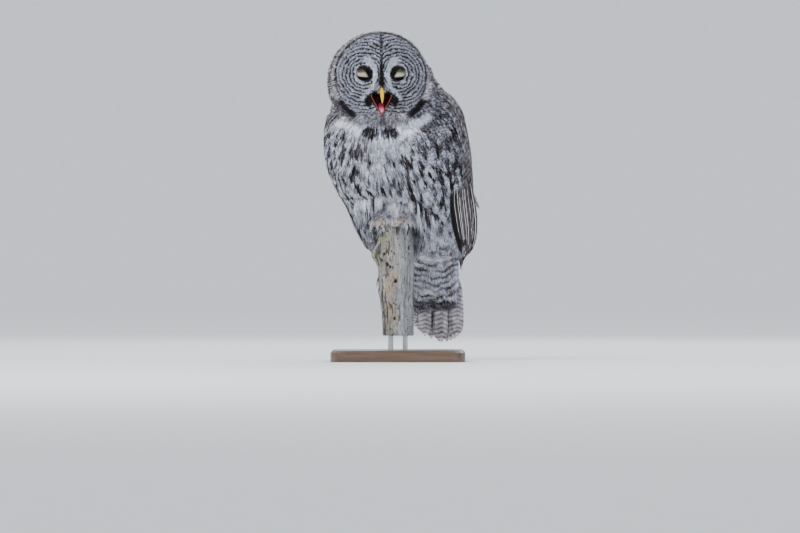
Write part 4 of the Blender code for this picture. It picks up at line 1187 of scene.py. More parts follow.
def trace(tree, roots, normals, ways, lengths, lifts, loose):
    """Paths that follow the skin from each root, unless loose, and rise from it towards their tips."""
    paths = np.empty((len(roots), PATH_STEPS, 3))
    ups = np.empty_like(paths)
    step = lengths / (PATH_STEPS - 1)
    place, way, up = roots.copy(), ways.copy(), normals.copy()
    for k in range(PATH_STEPS):
        share = k / (PATH_STEPS - 1)
        rise = -0.0008 + (lifts + 0.0008) * float(soft(np.array(share), 0.0, 0.65))
        paths[:, k] = place + up * np.asarray(rise)[:, None]
        ups[:, k] = up
        ahead = place + way * step[:, None]
        for number in np.flatnonzero(~loose):
            point = ahead[number]
            spot, normal, _, _ = tree.find_nearest(point)
            if (spot - Vector(point)).length < 0.006:
                ahead[number] = spot
                turn = np.array(normal)
                if up[number].dot(turn) > 0.5:
                    up[number] = up[number] * 0.5 + turn * 0.5
        up = unit(up)
        way = unit(way * 0.5 + unit(ahead - place) * 0.5)
        flat = unit(way - up * np.sum(way * up, axis=1)[:, None])
        way = np.where(loose[:, None], ways, flat)
        place = ahead
    return paths, ups


def turn_bristles(roots, region, ways, lengths, lifts):
    """Bristles at the bill's root lie over it, and short feathers lie over the rims of the lids."""
    right, forward, up = to_head(roots)
    side = np.sign(right)
    turn = (1 - soft(up, -0.008, 0.007)) * (np.abs(right) < 0.0135) * (up > -0.027) * (forward > 0.04)
    slope = 0.35 + 0.25 * soft(np.abs(right), 0.002, 0.008)
    over = head_way(0.20 * side, 0.80, -slope)
    ways[:] = unit(ways * (1 - turn)[:, None] + over * turn[:, None])
    lengths *= 1 + 0.45 * turn
    lifts *= 1 + 0.4 * turn
    across, rise = right - side * EYE_SIDE, up - EYE_UP
    gap = np.hypot(across, rise)
    lash = (region == REGIONS.index("face")) & (gap < 0.0168)
    across, rise = across / gap, rise / gap
    round_eye = head_way(0.85 * side * rise - 0.40 * across, 0.30, -0.85 * side * across - 0.40 * rise)
    ways[lash] = unit(round_eye[lash])
    lengths[lash] *= 0.75
    lifts[lash] *= 0.5
    return (turn > 0.1) | lash


def coat(skin, hidden, material):
    """Tufts over the whole skin, in pieces by region."""
    tree = BVHTree.FromObject(skin, bpy.context.evaluated_depsgraph_get())
    roots, normals, places, region = scatter(skin, hidden)
    ways = lie_of(roots, normals, region)
    sideways = np.cross(normals, ways)
    ways = unit(ways + sideways * chance.normal(0, 0.13, len(roots))[:, None])
    table = np.array([STYLES[name] for name in REGIONS])[region]
    lengths = table[:, 1] * chance.uniform(0.82, 1.18, len(roots))
    widths = table[:, 2] * chance.uniform(0.85, 1.15, len(roots))
    lifts = table[:, 3] * chance.uniform(0.80, 1.25, len(roots))
    shifts = chance.random(len(roots))
    around = np.hypot(roots[:, 0] - STEM_AXIS, roots[:, 1])
    aside = np.abs(roots[:, 0] - STEM_AXIS) > 0.026
    loose = (roots[:, 2] > 0.250) & (roots[:, 2] < 0.335) & (around > 0.052) & (around < 0.080) & aside
    loose &= region != REGIONS.index("feet")
    arch = (roots[:, 2] > 0.300) & (roots[:, 2] < 0.335) & (roots[:, 1] < 0.0) & ~aside
    arch &= region != REGIONS.index("feet")
    lengths[arch] *= 0.45
    # Over the dome the belly's tufts end at its edge, and its own hang down over the toes.
    share = np.clip((roots[:, 0] - DOME_X) / DOME_WIDTH, -1, 1)
    over = roots[:, 2] - DOME_Z - DOME_HEIGHT * np.sqrt(1 - share**2)
    above = (np.abs(share) < 1) & (over > 0) & (over < 0.06) & (roots[:, 1] < 0)
    lengths[above] = np.minimum(lengths[above], over[above] + 0.010)
    widths[above | arch] *= 0.55
    hanging = (region == REGIONS.index("feet")) & (roots[:, 2] > 0.283) & (roots[:, 1] < 0.02)
    lengths[hanging] = 0.027 * chance.uniform(0.5, 1.35, hanging.sum())
    lengths[region == REGIONS.index("feet")] *= 1 + 0.40 * cloud(roots, 0.014, 57.0)[region == REGIONS.index("feet")]
    outward = unit((roots - np.array((STEM_AXIS, 0.0, 0.0))) * (1, 1, 0))
    ways[hanging] = unit(outward * 0.28 + (0, 0, -1))[hanging]
    lobes = np.maximum(1 - soft(np.abs(roots[:, 0] + 0.038), 0.008, 0.014),
                       0.7 * (1 - soft(np.abs(roots[:, 0] - 0.010), 0.006, 0.012)))
    low = (region == REGIONS.index("feet")) & (roots[:, 2] < 0.276)
    lengths[low] *= 0.45
    lobed = low & (lobes > 0.35) & (roots[:, 1] < 0)
    lengths[lobed] = 0.015 * chance.uniform(0.6, 1.3, lobed.sum())
    ways[lobed] = unit(outward * 0.20 + (0, 0, -1))[lobed]
    loose |= lobed
    loose |= hanging
    foot_end = (region == REGIONS.index("tail")) & (roots[:, 2] < TAIL_CORE_FOOT + 0.040)
    lengths[foot_end] = np.clip(roots[foot_end, 2] - TAIL_CORE_FOOT - 0.004, 0.007, 0.030)
    loose |= foot_end
    loose |= turn_bristles(roots, region, ways, lengths, lifts)
    ways[loose] = unit(ways[loose] * 0.5 + np.array((0.0, 0.0, -1.0)))
    paths, ups = trace(tree, roots, normals, ways, lengths, lifts, loose)
    azimuth = np.arctan2(roots[:, 0] - STEM_AXIS, -roots[:, 1])
    groups = {"face": 2, "rim": 1, "head": 2, "neck": 2, "belly": 3, "back": 2, "tail": 1, "feet": 1}
    for name, parts in groups.items():
        chosen = np.flatnonzero(region == REGIONS.index(name))
        chosen = chosen[np.argsort(azimuth[chosen])]
        locks = STYLES[name][4]
        templates = [tuft_template(locks, 0.9, 0.55 / locks**0.6, seed) for seed in range(8)]
        for number, rows in enumerate(np.array_split(chosen, parts)):
            fields = markings(paths[rows, 3])
            fields["count"] = np.maximum(2.0, lengths[rows] / 0.0065)
            fields["shift"] = shifts[rows]
            fields["tone"] = fields["tone"] + 0.10 * (shifts[rows] - 0.5)
            label = f"coat_{name}_{number + 1}" if parts > 1 else f"coat_{name}"
            marks = {"face": all_marks, "rim": all_marks, "tail": all_marks, "neck": neck_marks}.get(name, fine_marks)
            piece = grow(label, paths[rows], ups[rows], widths[rows], templates, fields, places[rows],
                         material, marks=marks)
            print(label, len(rows), "tufts", len(piece.data.polygons), "triangles")


# Wings and tail

# Rows of the wing from the innermost: number, first and last across, root and tip as shares of the
# torso's length at the front, middle and rear, how far they stand off, half width in metres
WING_ROWS = [
    (19, 0.10, 0.70, 0.46, (0.085, -0.030, -0.055), 0.0040, 0.0105),
    (9, 0.44, 0.93, 0.47, (0.030, 0.060, 0.150), 0.0060, 0.0160),
]
QUILL_COUNT = 28
COVERT_ROWS = 10
for row in range(COVERT_ROWS):
    root = 0.54 + 0.025 * row
    tip = root - 0.190 + 0.006 * row
    first = 0.20 + 0.02 * (row % 3)
    WING_ROWS.append((13 + row, first, 0.95, root, (tip, tip - 0.02, tip), 0.0074, 0.0115 - 0.0004 * row))
# How much further forward the right wing's rows begin, where fewer feathers cover them
WING_BARE = 0.12


def wing_sheet(side):
    def point(u, v):
        front, rear, tuck, ahead = blend_rows(WING_OUTLINE, u)
        front += tuck if side < 0 else -ahead
        share = WING_FOOT + (WING_TOP - WING_FOOT) * u
        return torso_point(share, side * math.radians(front + (rear - front) * v))

    return Sheet(point, 60, 24, from_body(-0.02, 0.0, 0.35))


# Tone, its mottling and how brown the vanes are, for the short and the long feathers
VANE_TONES = {"coverts": (0.38, 0.19, 0.22), "quills": (0.56, 0.13, 0.30), "tail": (0.25, 0.22, 0.34)}


def vane_marks(kind):
    """How the vanes of one kind of feather are mottled, as a function of points."""
    tone, spread, warm = VANE_TONES[kind]

    def marks(points, fields):
        mottle = 0.65 * cloud(points, 0.011, 91.0) + 0.55 * cloud(points, 0.0040, 93.0)
        fields["mottle"] = tone + spread * mottle
        fields["warm"] = warm + 0.08 * mottle
        if kind == "tail":
            fields["fringe"] *= soft(fields["along"], 0.84, 0.93)

    return marks


def wing_feathers(name, side, sheet, material):
    """Flight feathers and coverts in overlapping rows down the folded wing."""
    steps = 9
    paths, ups, widths, tilts, fields = [], [], [], [], []
    for row, (count, first, last, root, tips, lift, half) in enumerate(WING_ROWS):
        for number in range(count):
            part = number / (count - 1)
            start = first - (WING_BARE if side < 0 else 0.0)
            across = start + (last - start) * part + (row * 0.38 % 1) * 0.7 / count
            across += chance.normal(0, 0.016 if row else 0.004)
            tip = float(np.interp(part, (0.0, 0.5, 1.0), tips)) + chance.normal(0, 0.014)
            share = np.linspace(0, 1, steps)
            u = (root + (tip - root) * share - WING_FOOT) / (WING_TOP - WING_FOOT)
            v = np.full(steps, across) + 0.02 * chance.normal() * share
            sunk = -0.0045 if row > 7 else 0.0015
            out = sunk + (lift - sunk) * soft(share, 0.05, 0.6) + chance.normal(0, 0.0004)
            points, normals = sheet.at(u, v, out)
            points = points - normals * (coat_depth(points) - COAT_DEPTH)[:, None] * (points[:, :1] > 0)
            paths.append(points)
            ups.append(normals)
            narrow = 0.58 + 0.42 * part if row == 0 else 1.0
            widths.append(half * chance.uniform(0.94, 1.06) * narrow)
            tilts.append(side * SHINGLE / 2)
            long = row < 2
            # Painted shade: the frontmost quill of the innermost row is darkened and given no pale fringe, for the
            # shadow line between flank and wing.
            edge = float(row == 0 and number == 0)
            mottle = chance.uniform(-1, 1)
            fields.append({
                "tone": 0.55 * edge + 0.10 * mottle,
                "bars": 0.03 + 0.14 * part if row == 0 else 0.15,
                "streak": 0.10 if long else 0.20,
                "fringe": (0.78 - 0.55 * part) * (1 - edge) if long else 0.30 * chance.random(),
                "shift": chance.random(),
                "phase": 0.0,
                "local": 1.0,
                "count": np.linalg.norm(points[-1] - points[0]) / (0.024 if long else 0.0110),
            })
    if side > 0:
        # One loose pale feather stands off the wing's edge.
        root, normal = sheet.at(np.array(0.47), np.array(0.53), np.array(0.003))
        share = np.linspace(0, 1, steps)
        paths.append(root + np.outer(share, (0.003, -0.010, -0.052)) + np.outer(share**2, (0.015, 0.0, 0.0)))
        ups.append(np.tile(unit(normal * 0.5 - (0.0, 1.0, 0.0)), (steps, 1)))
        widths.append(0.0056)
        tilts.append(0.0)
        fields.append(dict(fields[-1], tone=-0.22, bars=0.05, fringe=0.2))
    paths, ups = np.array(paths), np.array(ups)
    widths, tilts = np.array(widths), np.array(tilts)
    fields = {key: np.array([each[key] for each in fields]) for key in fields[0]}
    order = np.arange(len(paths))
    places = np.stack([0.1 + 0.8 * (order % 20) / 20, 0.05 + 0.9 * (order // 20) / 14], 1)
    quills = order < QUILL_COUNT
    sets = (
        ("quills", quills, [vane_template(26, 0.05, seed, 0.10, 4.0) for seed in range(4)]),
        ("coverts", ~quills, [vane_template(12, 0.16, seed, 0.16, 2.6) for seed in range(6)]),
    )
    made = []
    for kind, chosen, templates in sets:
        chosen = np.flatnonzero(chosen)
        picked = {key: value[chosen] for key, value in fields.items()}
        piece = grow(f"{name}_{kind}", paths[chosen], ups[chosen], widths[chosen], templates, picked,
                     places[chosen], material, tilt=tilts[chosen], marks=vane_marks(kind))
        made.append(piece)
    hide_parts(name)
    return made


def tail_feathers(material):
    """Twelve long feathers, the middle pair hindmost."""
    steps = 9
    paths, ups, widths, tilts, fields = [], [], [], [], []
    for side in (-1, 1):
        for number in range(6):
            middle = side * TAIL_STEP * (1 + number)
            level = -1 if number == 0 and side < 0 else TAIL_FRONT.get(number, number)
            share = np.linspace(0, 1, steps)
            tip = TAIL_TIP + TAIL_ROUNDING * (middle - TAIL_SKEW) ** 2
            height = TAIL_ROOT + 0.035 + (tip - TAIL_ROOT - 0.035) * share
            forward = TAIL_BACK + TAIL_LAYER * level + TAIL_CURVE * middle**2 + TAIL_ROOT_SINK * (1 - share) ** 2
            paths.append(from_body(forward, np.full(steps, middle), height))
            ups.append(np.tile(unit(body_way(-1.0, 2 * TAIL_CURVE * middle, 0.0)), (steps, 1)))
            widths.append(TAIL_FEATHER_HALF_WIDTH)
            tilts.append(side * 0.3 * TAIL_LAYER)
            fields.append({"tone": 0.0, "bars": 0.19, "streak": 0.05, "phase": 0.0, "local": 1.0,
                           "count": 14.0, "fringe": 0.60, "shift": 0.9 * chance.random()})
    fields = {key: np.array([each[key] for each in fields]) for key in fields[0]}
    places = np.stack([0.1 + 0.07 * np.arange(12), np.full(12, 0.5)], 1)
    templates = [vane_template(26, 0.06, seed, 0.03, 5.0) for seed in range(4)]
    piece = grow("tail_quills", np.array(paths), np.array(ups), np.array(widths), templates, fields,
                 places, material, tilt=np.array(tilts), marks=vane_marks("tail"))
    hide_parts("tail")
    return piece


# Head's own pieces

# Where the closed lids meet, in degrees over the eye's middle
LID_EDGE = -44


def lids(material):
    """Closed lids with fine creases, each pair over one eye but for a slit."""
    for side, name in ((-1, "right"), (1, "left")):
        for part, low, high in (("upper", LID_EDGE + 5, 80), ("lower", -80, LID_EDGE)):
            rows, columns = 20, 36
            grids = []
            for radius in (EYE_RADIUS + 0.0021, EYE_RADIUS + 0.0008):
                level, turn = np.meshgrid(
                    np.linspace(low, high, rows + 1),
                    np.radians(np.linspace(-82, 82, columns + 1)), indexing="ij")
                meet = low if part == "upper" else high
                bend = meet * (1 - np.cos(turn)) * (1 - np.abs(level - meet) / (high - low))
                tilt = np.radians(level - bend)
                crease = 0.00018 * np.sin(tilt * 26 + 1.5 * np.cos(turn * 2)) * (radius > EYE_RADIUS + 0.001)
                rim = 0.0005 * np.exp(-((level - meet) / 5) ** 2)
                reach = radius + crease + rim
                grids.append(from_head(
                    side * EYE_SIDE + reach * np.sin(turn) * np.cos(tilt),
                    EYE_DEPTH + reach * np.cos(turn) * np.cos(tilt),
                    EYE_UP + reach * np.sin(tilt)))
            obj = slab(f"lid_{name}_{part}", grids[0], grids[1])
            right, forward, up = to_head(coordinates(obj.data))
            inward = (EYE_SIDE - np.abs(right)) / EYE_RADIUS
            above = (up - EYE_UP) / EYE_RADIUS
            dark = np.maximum(soft(1.1 * inward + above + 0.25 * inward**2, 0.10, 0.85), 0.66 * soft(above, -0.10, 0.45))
            dark = np.maximum(dark, soft(-above - 0.12 * inward, 0.44, 0.62))
            edge = np.concatenate([np.exp(-((level.ravel() - meet) / 7) ** 2)] * 2)
            set_fields(obj.data, {"dark": np.maximum(dark, 0.9 * edge)})
            obj.data.materials.append(material)
            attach(obj, "root")
            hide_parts(f"eyelid_{name}_{part}")


def slab(name, outer, inner):
    """A closed slab between two grids of points."""
    rows, columns = outer.shape[:2]
    size = rows * columns
    points = np.vstack([outer.reshape(-1, 3), inner.reshape(-1, 3)])
    faces = []
    for i in range(rows - 1):
        for j in range(columns - 1):
            a = i * columns + j
            b, c, d = a + 1, a + columns + 1, a + columns
            faces += [(a, b, c), (a, c, d), (size + c, size + b, size + a), (size + d, size + c, size + a)]
    ring = list(range(columns)) + [i * columns + columns - 1 for i in range(1, rows)]
    ring += [(rows - 1) * columns + j for j in range(columns - 2, -1, -1)]
    ring += [i * columns for i in range(rows - 2, 0, -1)]
    for a, b in zip(ring, ring[1:] + ring[:1]):
        faces += [(b, a, size + a), (b, size + a, size + b)]
    mesh = mesh_from(name, points, faces)
    built = bmesh.new()
    built.from_mesh(mesh)
    bmesh.ops.recalc_face_normals(built, faces=built.faces)
    built.to_mesh(mesh)
    built.free()
    return link(name, mesh)


BILL_SECTIONS = [
    (-0.0235, 0.0550, 0.0022, 0.0042),
    (-0.0275, 0.0650, 0.0032, 0.0056),
    (-0.0320, 0.0738, 0.0037, 0.0060),
    (-0.0380, 0.0790, 0.0035, 0.0050),
    (-0.0445, 0.0812, 0.0025, 0.0036),
    (-0.0505, 0.0806, 0.0013, 0.0017),
    (-0.0532, 0.0797, 0.0004, 0.0005),
]
NOSTRIL = (0.0038, 0.0690, -0.0285)


def upper_bill(material):
    """The hooked upper mandible with its nostrils."""
    rings = []
    count, sides = 56, 40
    for i in range(count + 1):
        share = i / count
        up, forward, width, depth = blend_rows(BILL_SECTIONS, share)
        after = blend_rows(BILL_SECTIONS, share + 0.01)
        before = blend_rows(BILL_SECTIONS, share - 0.01)
        way = Vector((0, after[1] - before[1], after[0] - before[0])).normalized()
        angle = np.linspace(0, 2 * math.pi, sides, endpoint=False)
        across = width * np.sin(angle) * (1 - 0.25 * np.cos(angle))
        off = depth * np.cos(angle)
        points = np.stack([across, forward - way.z * off, up + way.y * off], 1)
        pit = np.zeros(sides)
        for side in (-1, 1):
            gap = np.linalg.norm((points - (side * NOSTRIL[0], *NOSTRIL[1:])) / (1.0, 1.0, 1.4), axis=1)
            pit = np.maximum(pit, np.exp(-((gap / 0.0011) ** 2)))
        points[:, 0] *= 1 - 0.35 * pit
        points[:, 1] -= 0.0008 * pit
        rings.append(from_head(*points.T))
    obj = loft("bill_hook", rings)
    _, _, up = to_head(coordinates(obj.data))
    set_fields(obj.data, {"root": 0.7 - 0.7 * soft(-up, 0.018, 0.026), "tip": soft(-up, 0.044, 0.051) * 0.8})
    obj.data.materials.append(material)
    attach(obj, "root")
    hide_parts("bill_upper")


def gape_point(across, inset, forward):
    """Points of the open jaw's rim, a V from one corner of the gape to the tip and back."""
    depth = (JAW_TIP_UP + inset * 1.5 - GAPE_UP) * (1 - np.abs(across) ** 1.2)
    return from_head((GAPE_HALF_WIDTH - inset) * across, forward, GAPE_UP + depth)


# Throat: forward place and size of each ring, and the height that they shrink towards
THROAT = [(0.0590, 1.0), (0.0540, 0.97), (0.0490, 0.92), (0.0450, 0.80), (0.0436, 0.50), (0.0434, 0.02)]
THROAT_UP = -0.050


def mouth(jaw_material, flesh, tongue_material):
    """The lower mandible with its fleshy corners, the throat behind it and the tongue."""
    columns, rows = 48, 16
    across = np.linspace(-1, 1, columns + 1)
    share = np.linspace(0, 1, rows + 1)[:, None]
    front = JAW_FRONT - (JAW_FRONT - GAPE_FRONT) * np.abs(across)
    forward = JAW_BACK + (front - JAW_BACK) * share
    lip = 0.0004 * np.exp(-(((1 - share) / 0.12) ** 2)) * np.ones_like(across)
    outer = gape_point(across, -lip, forward)
    inner = gape_point(across, 0.0010 + 0.0 * lip, forward)
    jaw = slab("jaw", outer, inner)
    _, ahead, up = to_head(coordinates(jaw.data))
    set_fields(jaw.data, {"edge": soft(ahead, 0.050, 0.068)})
    # The throat is a cup behind the gape, painted nearly black inside as painted shade.
    rings = []
    roof = np.linspace(0.85, -0.85, 13)
    for ahead, shrink in THROAT:
        right, _, up = to_head(gape_point(across, 0.0018, 0.0))
        rights = np.concatenate([right, (GAPE_HALF_WIDTH - 0.0018) * roof]) * shrink
        ups = np.concatenate([up, np.full(len(roof), GAPE_UP + 0.0030)])
        rings.append(from_head(rights, ahead, (ups - THROAT_UP) * shrink + THROAT_UP))
    throat = loft("throat", rings, closed_ends=False)
    thicken = throat.modifiers.new("wall", "SOLIDIFY")
    thicken.thickness = 0.0006
    _, ahead, up = to_head(coordinates(throat.data))
    set_fields(throat.data, {"edge": soft(ahead, 0.048, 0.060) * soft(-up, 0.040, 0.062)})
    rings = []
    sides = 24
    for part in np.linspace(0, 1, 25):
        width = 0.0056 * (1 - part**3.2) ** 0.8 + 0.0004
        angle = np.linspace(0, 2 * math.pi, sides, endpoint=False)
        groove = 0.0005 * np.exp(-((np.sin(angle) / 0.25) ** 2)) * (np.cos(angle) > 0)
        rights = width * np.sin(angle)
        ups = -0.0545 - 0.0165 * part**1.2 + 0.4 * width * np.cos(angle) - groove
        rings.append(from_head(rights, JAW_BACK + 0.003 + (JAW_FRONT - JAW_BACK - 0.003) * part, ups))
    tongue = loft("tongue_flesh", rings)
    _, ahead, up = to_head(coordinates(tongue.data))
    set_fields(tongue.data, {"edge": soft(ahead, 0.057, 0.0755)})
    for obj, material, slot, node in (
        (jaw, jaw_material, "bill", "bill_lower"),
        (throat, flesh, "mouth", None),
        (tongue, tongue_material, "mouth", "tongue"),
    ):
        obj.data.materials.append(material)
        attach(obj, "root")
        if node:
            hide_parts(node)


CLAW_PATH = [
    (0.0425, -0.0020, 0.0028),
    (0.0432, -0.0090, 0.0028),
    (0.0430, -0.0160, 0.0023),
    (0.0410, -0.0230, 0.0014),
    (0.0385, -0.0275, 0.0003),
]
TOES = {"right": (-66, -38, -98, -136), "left": (4, 34, 68, 104)}


def claws(material):
    """Curved claws, each at the end of its toe."""
    sides = 20
    for name, azimuths in TOES.items():
        for number, azimuth in enumerate(azimuths, 1):
            turn = math.radians(azimuth)
            out = np.array((math.sin(turn), -math.cos(turn), 0.0))
            side = np.array((math.cos(turn), math.sin(turn), 0.0))
            rings = []
            for part in np.linspace(0, 1, 25):
                away, height, radius = blend_rows(CLAW_PATH, part)
                ahead = blend_rows(CLAW_PATH, part + 0.02) - blend_rows(CLAW_PATH, part - 0.02)
                way = unit(out * ahead[0] + np.array((0, 0, ahead[1])))
                normal = np.cross(side, way)
                angle = np.linspace(0, 2 * math.pi, sides, endpoint=False)[:, None]
                centre = np.array((STEM_AXIS, 0.0, STEM_TOP + height)) + out * away
                rings.append(centre + side * np.cos(angle) * radius * 0.85 + normal * np.sin(angle) * radius * 1.1)
            obj = loft(f"talon_{name}_{number}", rings)
            obj.data.materials.append(material)
            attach(obj, "root")
            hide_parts(f"claw_{name}_{number}")


# Stem

STEM_FOOT = 0.050
STEM_PROFILE = [
    (STEM_FOOT, 0.0000, 0.0290),
    (0.0850, -0.0010, 0.0300),
    (0.1200, -0.0025, 0.0325),
    (0.1550, -0.0030, 0.0335),
    (0.1850, -0.0040, 0.0345),
    (0.2050, -0.0065, 0.0370),
    (0.2250, -0.0050, 0.0350),
    (STEM_TOP, -0.0050, 0.0340),
]
# Holes in the wood: angle from the face's side to the bird's left, height, radius, depth
STEM_HOLES = [
    (-0.04, 0.1555, 0.0030, 0.0060),
    (-0.50, 0.1880, 0.0028, 0.0050),
    (-0.34, 0.1830, 0.0022, 0.0045),
    (-0.20, 0.0830, 0.0026, 0.0045),
    (0.85, 0.2200, 0.0032, 0.0050),
    (-0.85, 0.1960, 0.0026, 0.0040),
    (-0.62, 0.2080, 0.0024, 0.0040),
    (2.30, 0.1500, 0.0035, 0.0050),
    (-2.60, 0.1100, 0.0030, 0.0045),
]
# Patches of ochre wood and of moss: angle, height, half angle, half height
OCHRE_PATCHES = [(-0.25, 0.163, 0.42, 0.018), (-0.20, 0.083, 0.30, 0.008), (-0.55, 0.120, 0.30, 0.030)]
MOSS_PATCHES = [(-0.62, 0.234, 0.28, 0.012), (-0.95, 0.205, 0.35, 0.010)]
# Splinters: angle, heights of their root and end, how far the end stands off
SPLINTERS = [(-1.45, 0.169, 0.141, 0.0070), (-1.62, 0.150, 0.128, 0.0040), (-1.30, 0.246, 0.226, 0.0050)]


def stem(material):
    """The dead stem: split grain, a knob, holes and a broken top."""
    heights_in, centres, radii = (np.array(v) for v in zip(*STEM_PROFILE))
    rows, columns = 300, 200
    height = np.linspace(STEM_FOOT, STEM_TOP, rows + 1)[:, None]
    angle = np.linspace(-math.pi, math.pi, columns, endpoint=False)[None, :]
    share = (height - STEM_FOOT) / (STEM_TOP - STEM_FOOT)
    radius = np.interp(height, heights_in, radii) + 0.0008 * np.sin(5 * angle + 4 * share)
    radius = radius + 0.0006 * np.sin(9 * angle - 7 * share)
    radius += 0.0085 * np.exp(-(((height - 0.208) / 0.014) ** 2) - ((angle + 1.45) / 0.40) ** 2)
    place = np.stack(np.broadcast_arrays(np.sin(angle) * 0.033, -np.cos(angle) * 0.033, height), -1).reshape(-1, 3)
    grain = cloud(place, (0.0042, 0.0042, 0.050), 61.0).reshape(radius.shape)
    fine = cloud(place, (0.0016, 0.0016, 0.010), 67.0).reshape(radius.shape)
    lump = cloud(place, (0.010, 0.010, 0.018), 71.0).reshape(radius.shape)
    crack = soft(cloud(place, (0.0050, 0.0050, 0.060), 77.0).reshape(radius.shape), 0.46, 0.66)
    plain = soft(angle, -0.1, 0.5) * (1 - soft(angle, 2.2, 2.8))
    rough = 1 - 0.65 * plain
    crack = crack * (1 - 0.75 * plain)
    radius += 0.00050 * grain + 0.00030 * fine * rough + 0.0012 * lump * rough - 0.0024 * crack
    hole = np.zeros_like(radius)
    for where, level, size, depth in STEM_HOLES:
        spot = np.exp(-(((angle - where) * 0.034 / size) ** 4) - ((height - level) / size / 1.25) ** 4)
        hole = np.maximum(hole, spot)
        radius -= depth * spot
    radius -= 0.0040 * soft(height, STEM_TOP - 0.007, STEM_TOP) ** 2
    centre = np.interp(height, heights_in, centres)
    rings = np.stack(np.broadcast_arrays(centre + radius * np.sin(angle), -radius * np.cos(angle), height), -1)
    wood = loft("stem_wood", rings)
    splinters = []
    for where, root, end, stand in SPLINTERS:
        rings = []
        for part in np.linspace(0, 1, 13):
            level = root + (end - root) * part
            away = np.interp(level, heights_in, radii) - 0.002 + stand * math.sin(part * math.pi * 0.62)
            size = 0.0019 * (1 - part**2.5) + 0.0002
            turn = np.linspace(0, 2 * math.pi, 8, endpoint=False)
            middle = np.interp(level, heights_in, centres) + away * math.sin(where)
            rings.append(np.stack([
                middle + 0.6 * size * np.cos(turn),
                -away * math.cos(where) + 1.6 * size * np.sin(turn),
                np.full(len(turn), level)], 1))
        splinters.append(loft("splinter", rings))
    flat = np.concatenate([hole.ravel(), np.zeros(2)])
    cut = np.concatenate([crack.ravel(), np.zeros(2)])
    # Painted shade in the holes, and less strongly in the cracks.
    hole_and_crack_shade = np.maximum(flat, 0.75 * cut)
    for number, obj in enumerate([wood, *splinters]):
        points = coordinates(obj.data)
        turn = np.arctan2(points[:, 0] - STEM_AXIS, -points[:, 1])
        level = points[:, 2]
        patch = soft(cloud(points, (0.012, 0.012, 0.022), 81.0), -0.5, 0.4)
        ochre, moss = 0.30 * patch * (1 - soft(turn, -0.3, 0.3)), np.zeros(len(points))
        for *middle, wide, tall in OCHRE_PATCHES:
            ochre = np.maximum(ochre, 0.9 * near_oval(turn, level, middle, (wide, tall), 0.6) * patch)
        for *middle, wide, tall in MOSS_PATCHES:
            moss = np.maximum(moss, 0.7 * near_oval(turn, level, middle, (wide, tall), 0.6))
        hole_shade_and_dark_splinters = hole_and_crack_shade if number == 0 else np.full(len(points), 0.9)
        # Painted shade: a blue tint on the stem's side towards +X.
        painted_blue_shade = soft(turn, -0.15, 0.35) * (1 - soft(np.abs(turn), 2.2, 2.8))
        set_fields(obj.data, {"ochre": ochre, "moss": moss, "hole": hole_shade_and_dark_splinters, "painted_blue_shade": painted_blue_shade})
        obj.data.materials.append(material)
        obj.name = f"stem_splinter_{number}" if number else "stem_wood"
        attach(obj, "root")
    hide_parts("perch_stem")


# Stage


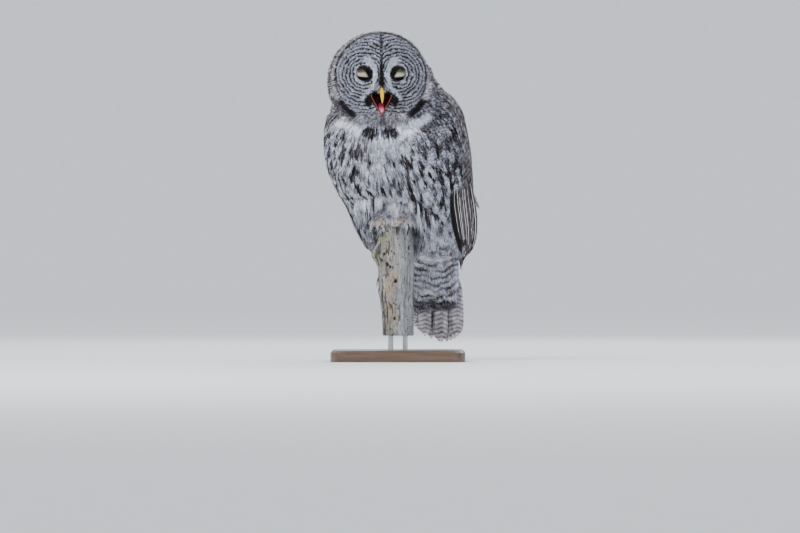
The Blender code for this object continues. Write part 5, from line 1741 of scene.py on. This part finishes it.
def stage():
    """A pale floor that turns up far away all round, soft light from above, and the camera."""
    graph = Graph("floor")
    grain = graph.speckle(30.0, 3.0)
    colour = graph.ramp(grain, [(0.3, (0.76, 0.77, 0.78)), (0.7, (0.79, 0.80, 0.81))])
    finish = graph.finish(colour, 0.9)
    profile = [(0.02, 0.0), (4.0, 0.0), (9.0, 0.0), (14.0, 0.0)]
    profile += [(14 + 6 * math.sin(t), 6 - 6 * math.cos(t)) for t in np.linspace(0.1, math.pi / 2, 12)]
    angle = np.linspace(0, 2 * math.pi, 96, endpoint=False)
    rings = [np.stack([r * np.cos(angle), r * np.sin(angle), np.full(96, z)], 1) for r, z in profile]
    floor = loft("floor", rings, closed_ends=False)
    built = bmesh.new()
    built.from_mesh(floor.data)
    bmesh.ops.holes_fill(built, edges=[e for e in built.edges if e.is_boundary and e.verts[0].co.length < 1])
    bmesh.ops.recalc_face_normals(built, faces=built.faces)
    built.to_mesh(floor.data)
    built.free()
    floor.data.materials.append(finish)

    world = bpy.data.worlds.new("sky")
    world.use_nodes = True
    sky = world.node_tree.nodes["Background"]
    sky.inputs["Color"].default_value = (0.90, 0.94, 1.0, 1.0)
    sky.inputs["Strength"].default_value = 1.25
    bpy.context.scene.world = world
    for name, place, size, power, colour in (
        ("key", (-1.7, -2.6, 2.9), 1.8, 120.0, (1.0, 0.98, 0.95)),
        ("fill", (2.4, -1.8, 1.6), 2.0, 34.0, (0.76, 0.86, 1.0)),
        ("back", (0.6, 2.8, 2.6), 2.0, 60.0, (0.95, 0.97, 1.0)),
    ):
        light = bpy.data.lights.new(name, "AREA")
        light.size = size
        light.energy = power
        light.color = colour
        lamp = link(name, light)
        lamp.location = place
        aim = Vector((0.0, 0.0, 0.35)) - lamp.location
        lamp.rotation_euler = aim.to_track_quat("-Z", "Y").to_euler()

    camera = bpy.data.cameras.new("camera")
    camera.sensor_width = SENSOR
    camera.lens = SENSOR * VIEW_AWAY / VIEW_WIDTH
    camera.clip_end = 100.0
    seen = link("camera", camera)
    seen.location = (VIEW_X, -VIEW_AWAY, VIEW_Z)
    seen.rotation_euler = (math.radians(90), 0, 0)
    bpy.context.scene.camera = seen


def under_wing(sheets):
    """A test for points that the folded wings cover, well inside their edges."""
    trees = []
    for sheet in sheets:
        points = sheet.points
        rows, columns = points.shape[0] - 1, points.shape[1] - 1
        flat = [Vector(p) for p in points.reshape(-1, 3)]
        faces = []
        for i in range(10, rows - 8):
            for j in range(2 if i < rows * 0.45 else 7, columns - 3):
                a = i * (columns + 1) + j
                faces.append((a, a + 1, a + columns + 2, a + columns + 1))
        trees.append(BVHTree.FromPolygons(flat, faces))

    def hidden(points):
        found = np.zeros(len(points), bool)
        for number, point in enumerate(points):
            found[number] = any(tree.find_nearest(Vector(point), 0.0075)[0] for tree in trees)
        return found

    return hidden


def main():
    feathers = feather_material()
    skin = make_skin(feathers)
    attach(skin, "root")
    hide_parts("head", "neck", "torso", "leg_left", "leg_right", "foot_left", "foot_right")
    sheets = [wing_sheet(1), wing_sheet(-1)]
    coat(skin, under_wing(sheets), feathers)
    wing_feathers("wing_left", 1, sheets[0], feathers)
    wing_feathers("wing_right", -1, sheets[1], feathers)
    tail_feathers(feathers)
    lids(lid_material())
    upper_bill(bill_material())
    mouth(
        flesh_material("gape", (0.10, 0.010, 0.010), (0.24, 0.075, 0.055), 0.50, 0.10),
        # Painted shade: the throat's inner colour is nearly black.
        flesh_material("throat", (0.018, 0.002, 0.003), (0.20, 0.012, 0.025), 0.60, 0.05),
        flesh_material("tongue", (0.24, 0.008, 0.035), (0.72, 0.24, 0.36), 0.28),
    )
    claws(claw_material())
    stem(stem_material())
    eye_finish = eye_material()
    for name in ("eye_left", "eye_right"):
        NODES[name].data.materials.clear()
        NODES[name].data.materials.append(eye_finish)
    for names, finish in ((("stand_base",), base_material()), (("stand_rod_left", "stand_rod_right"), steel_material())):
        for name in names:
            NODES[name].data.materials.clear()
            NODES[name].data.materials.append(finish)
    stage()


main()
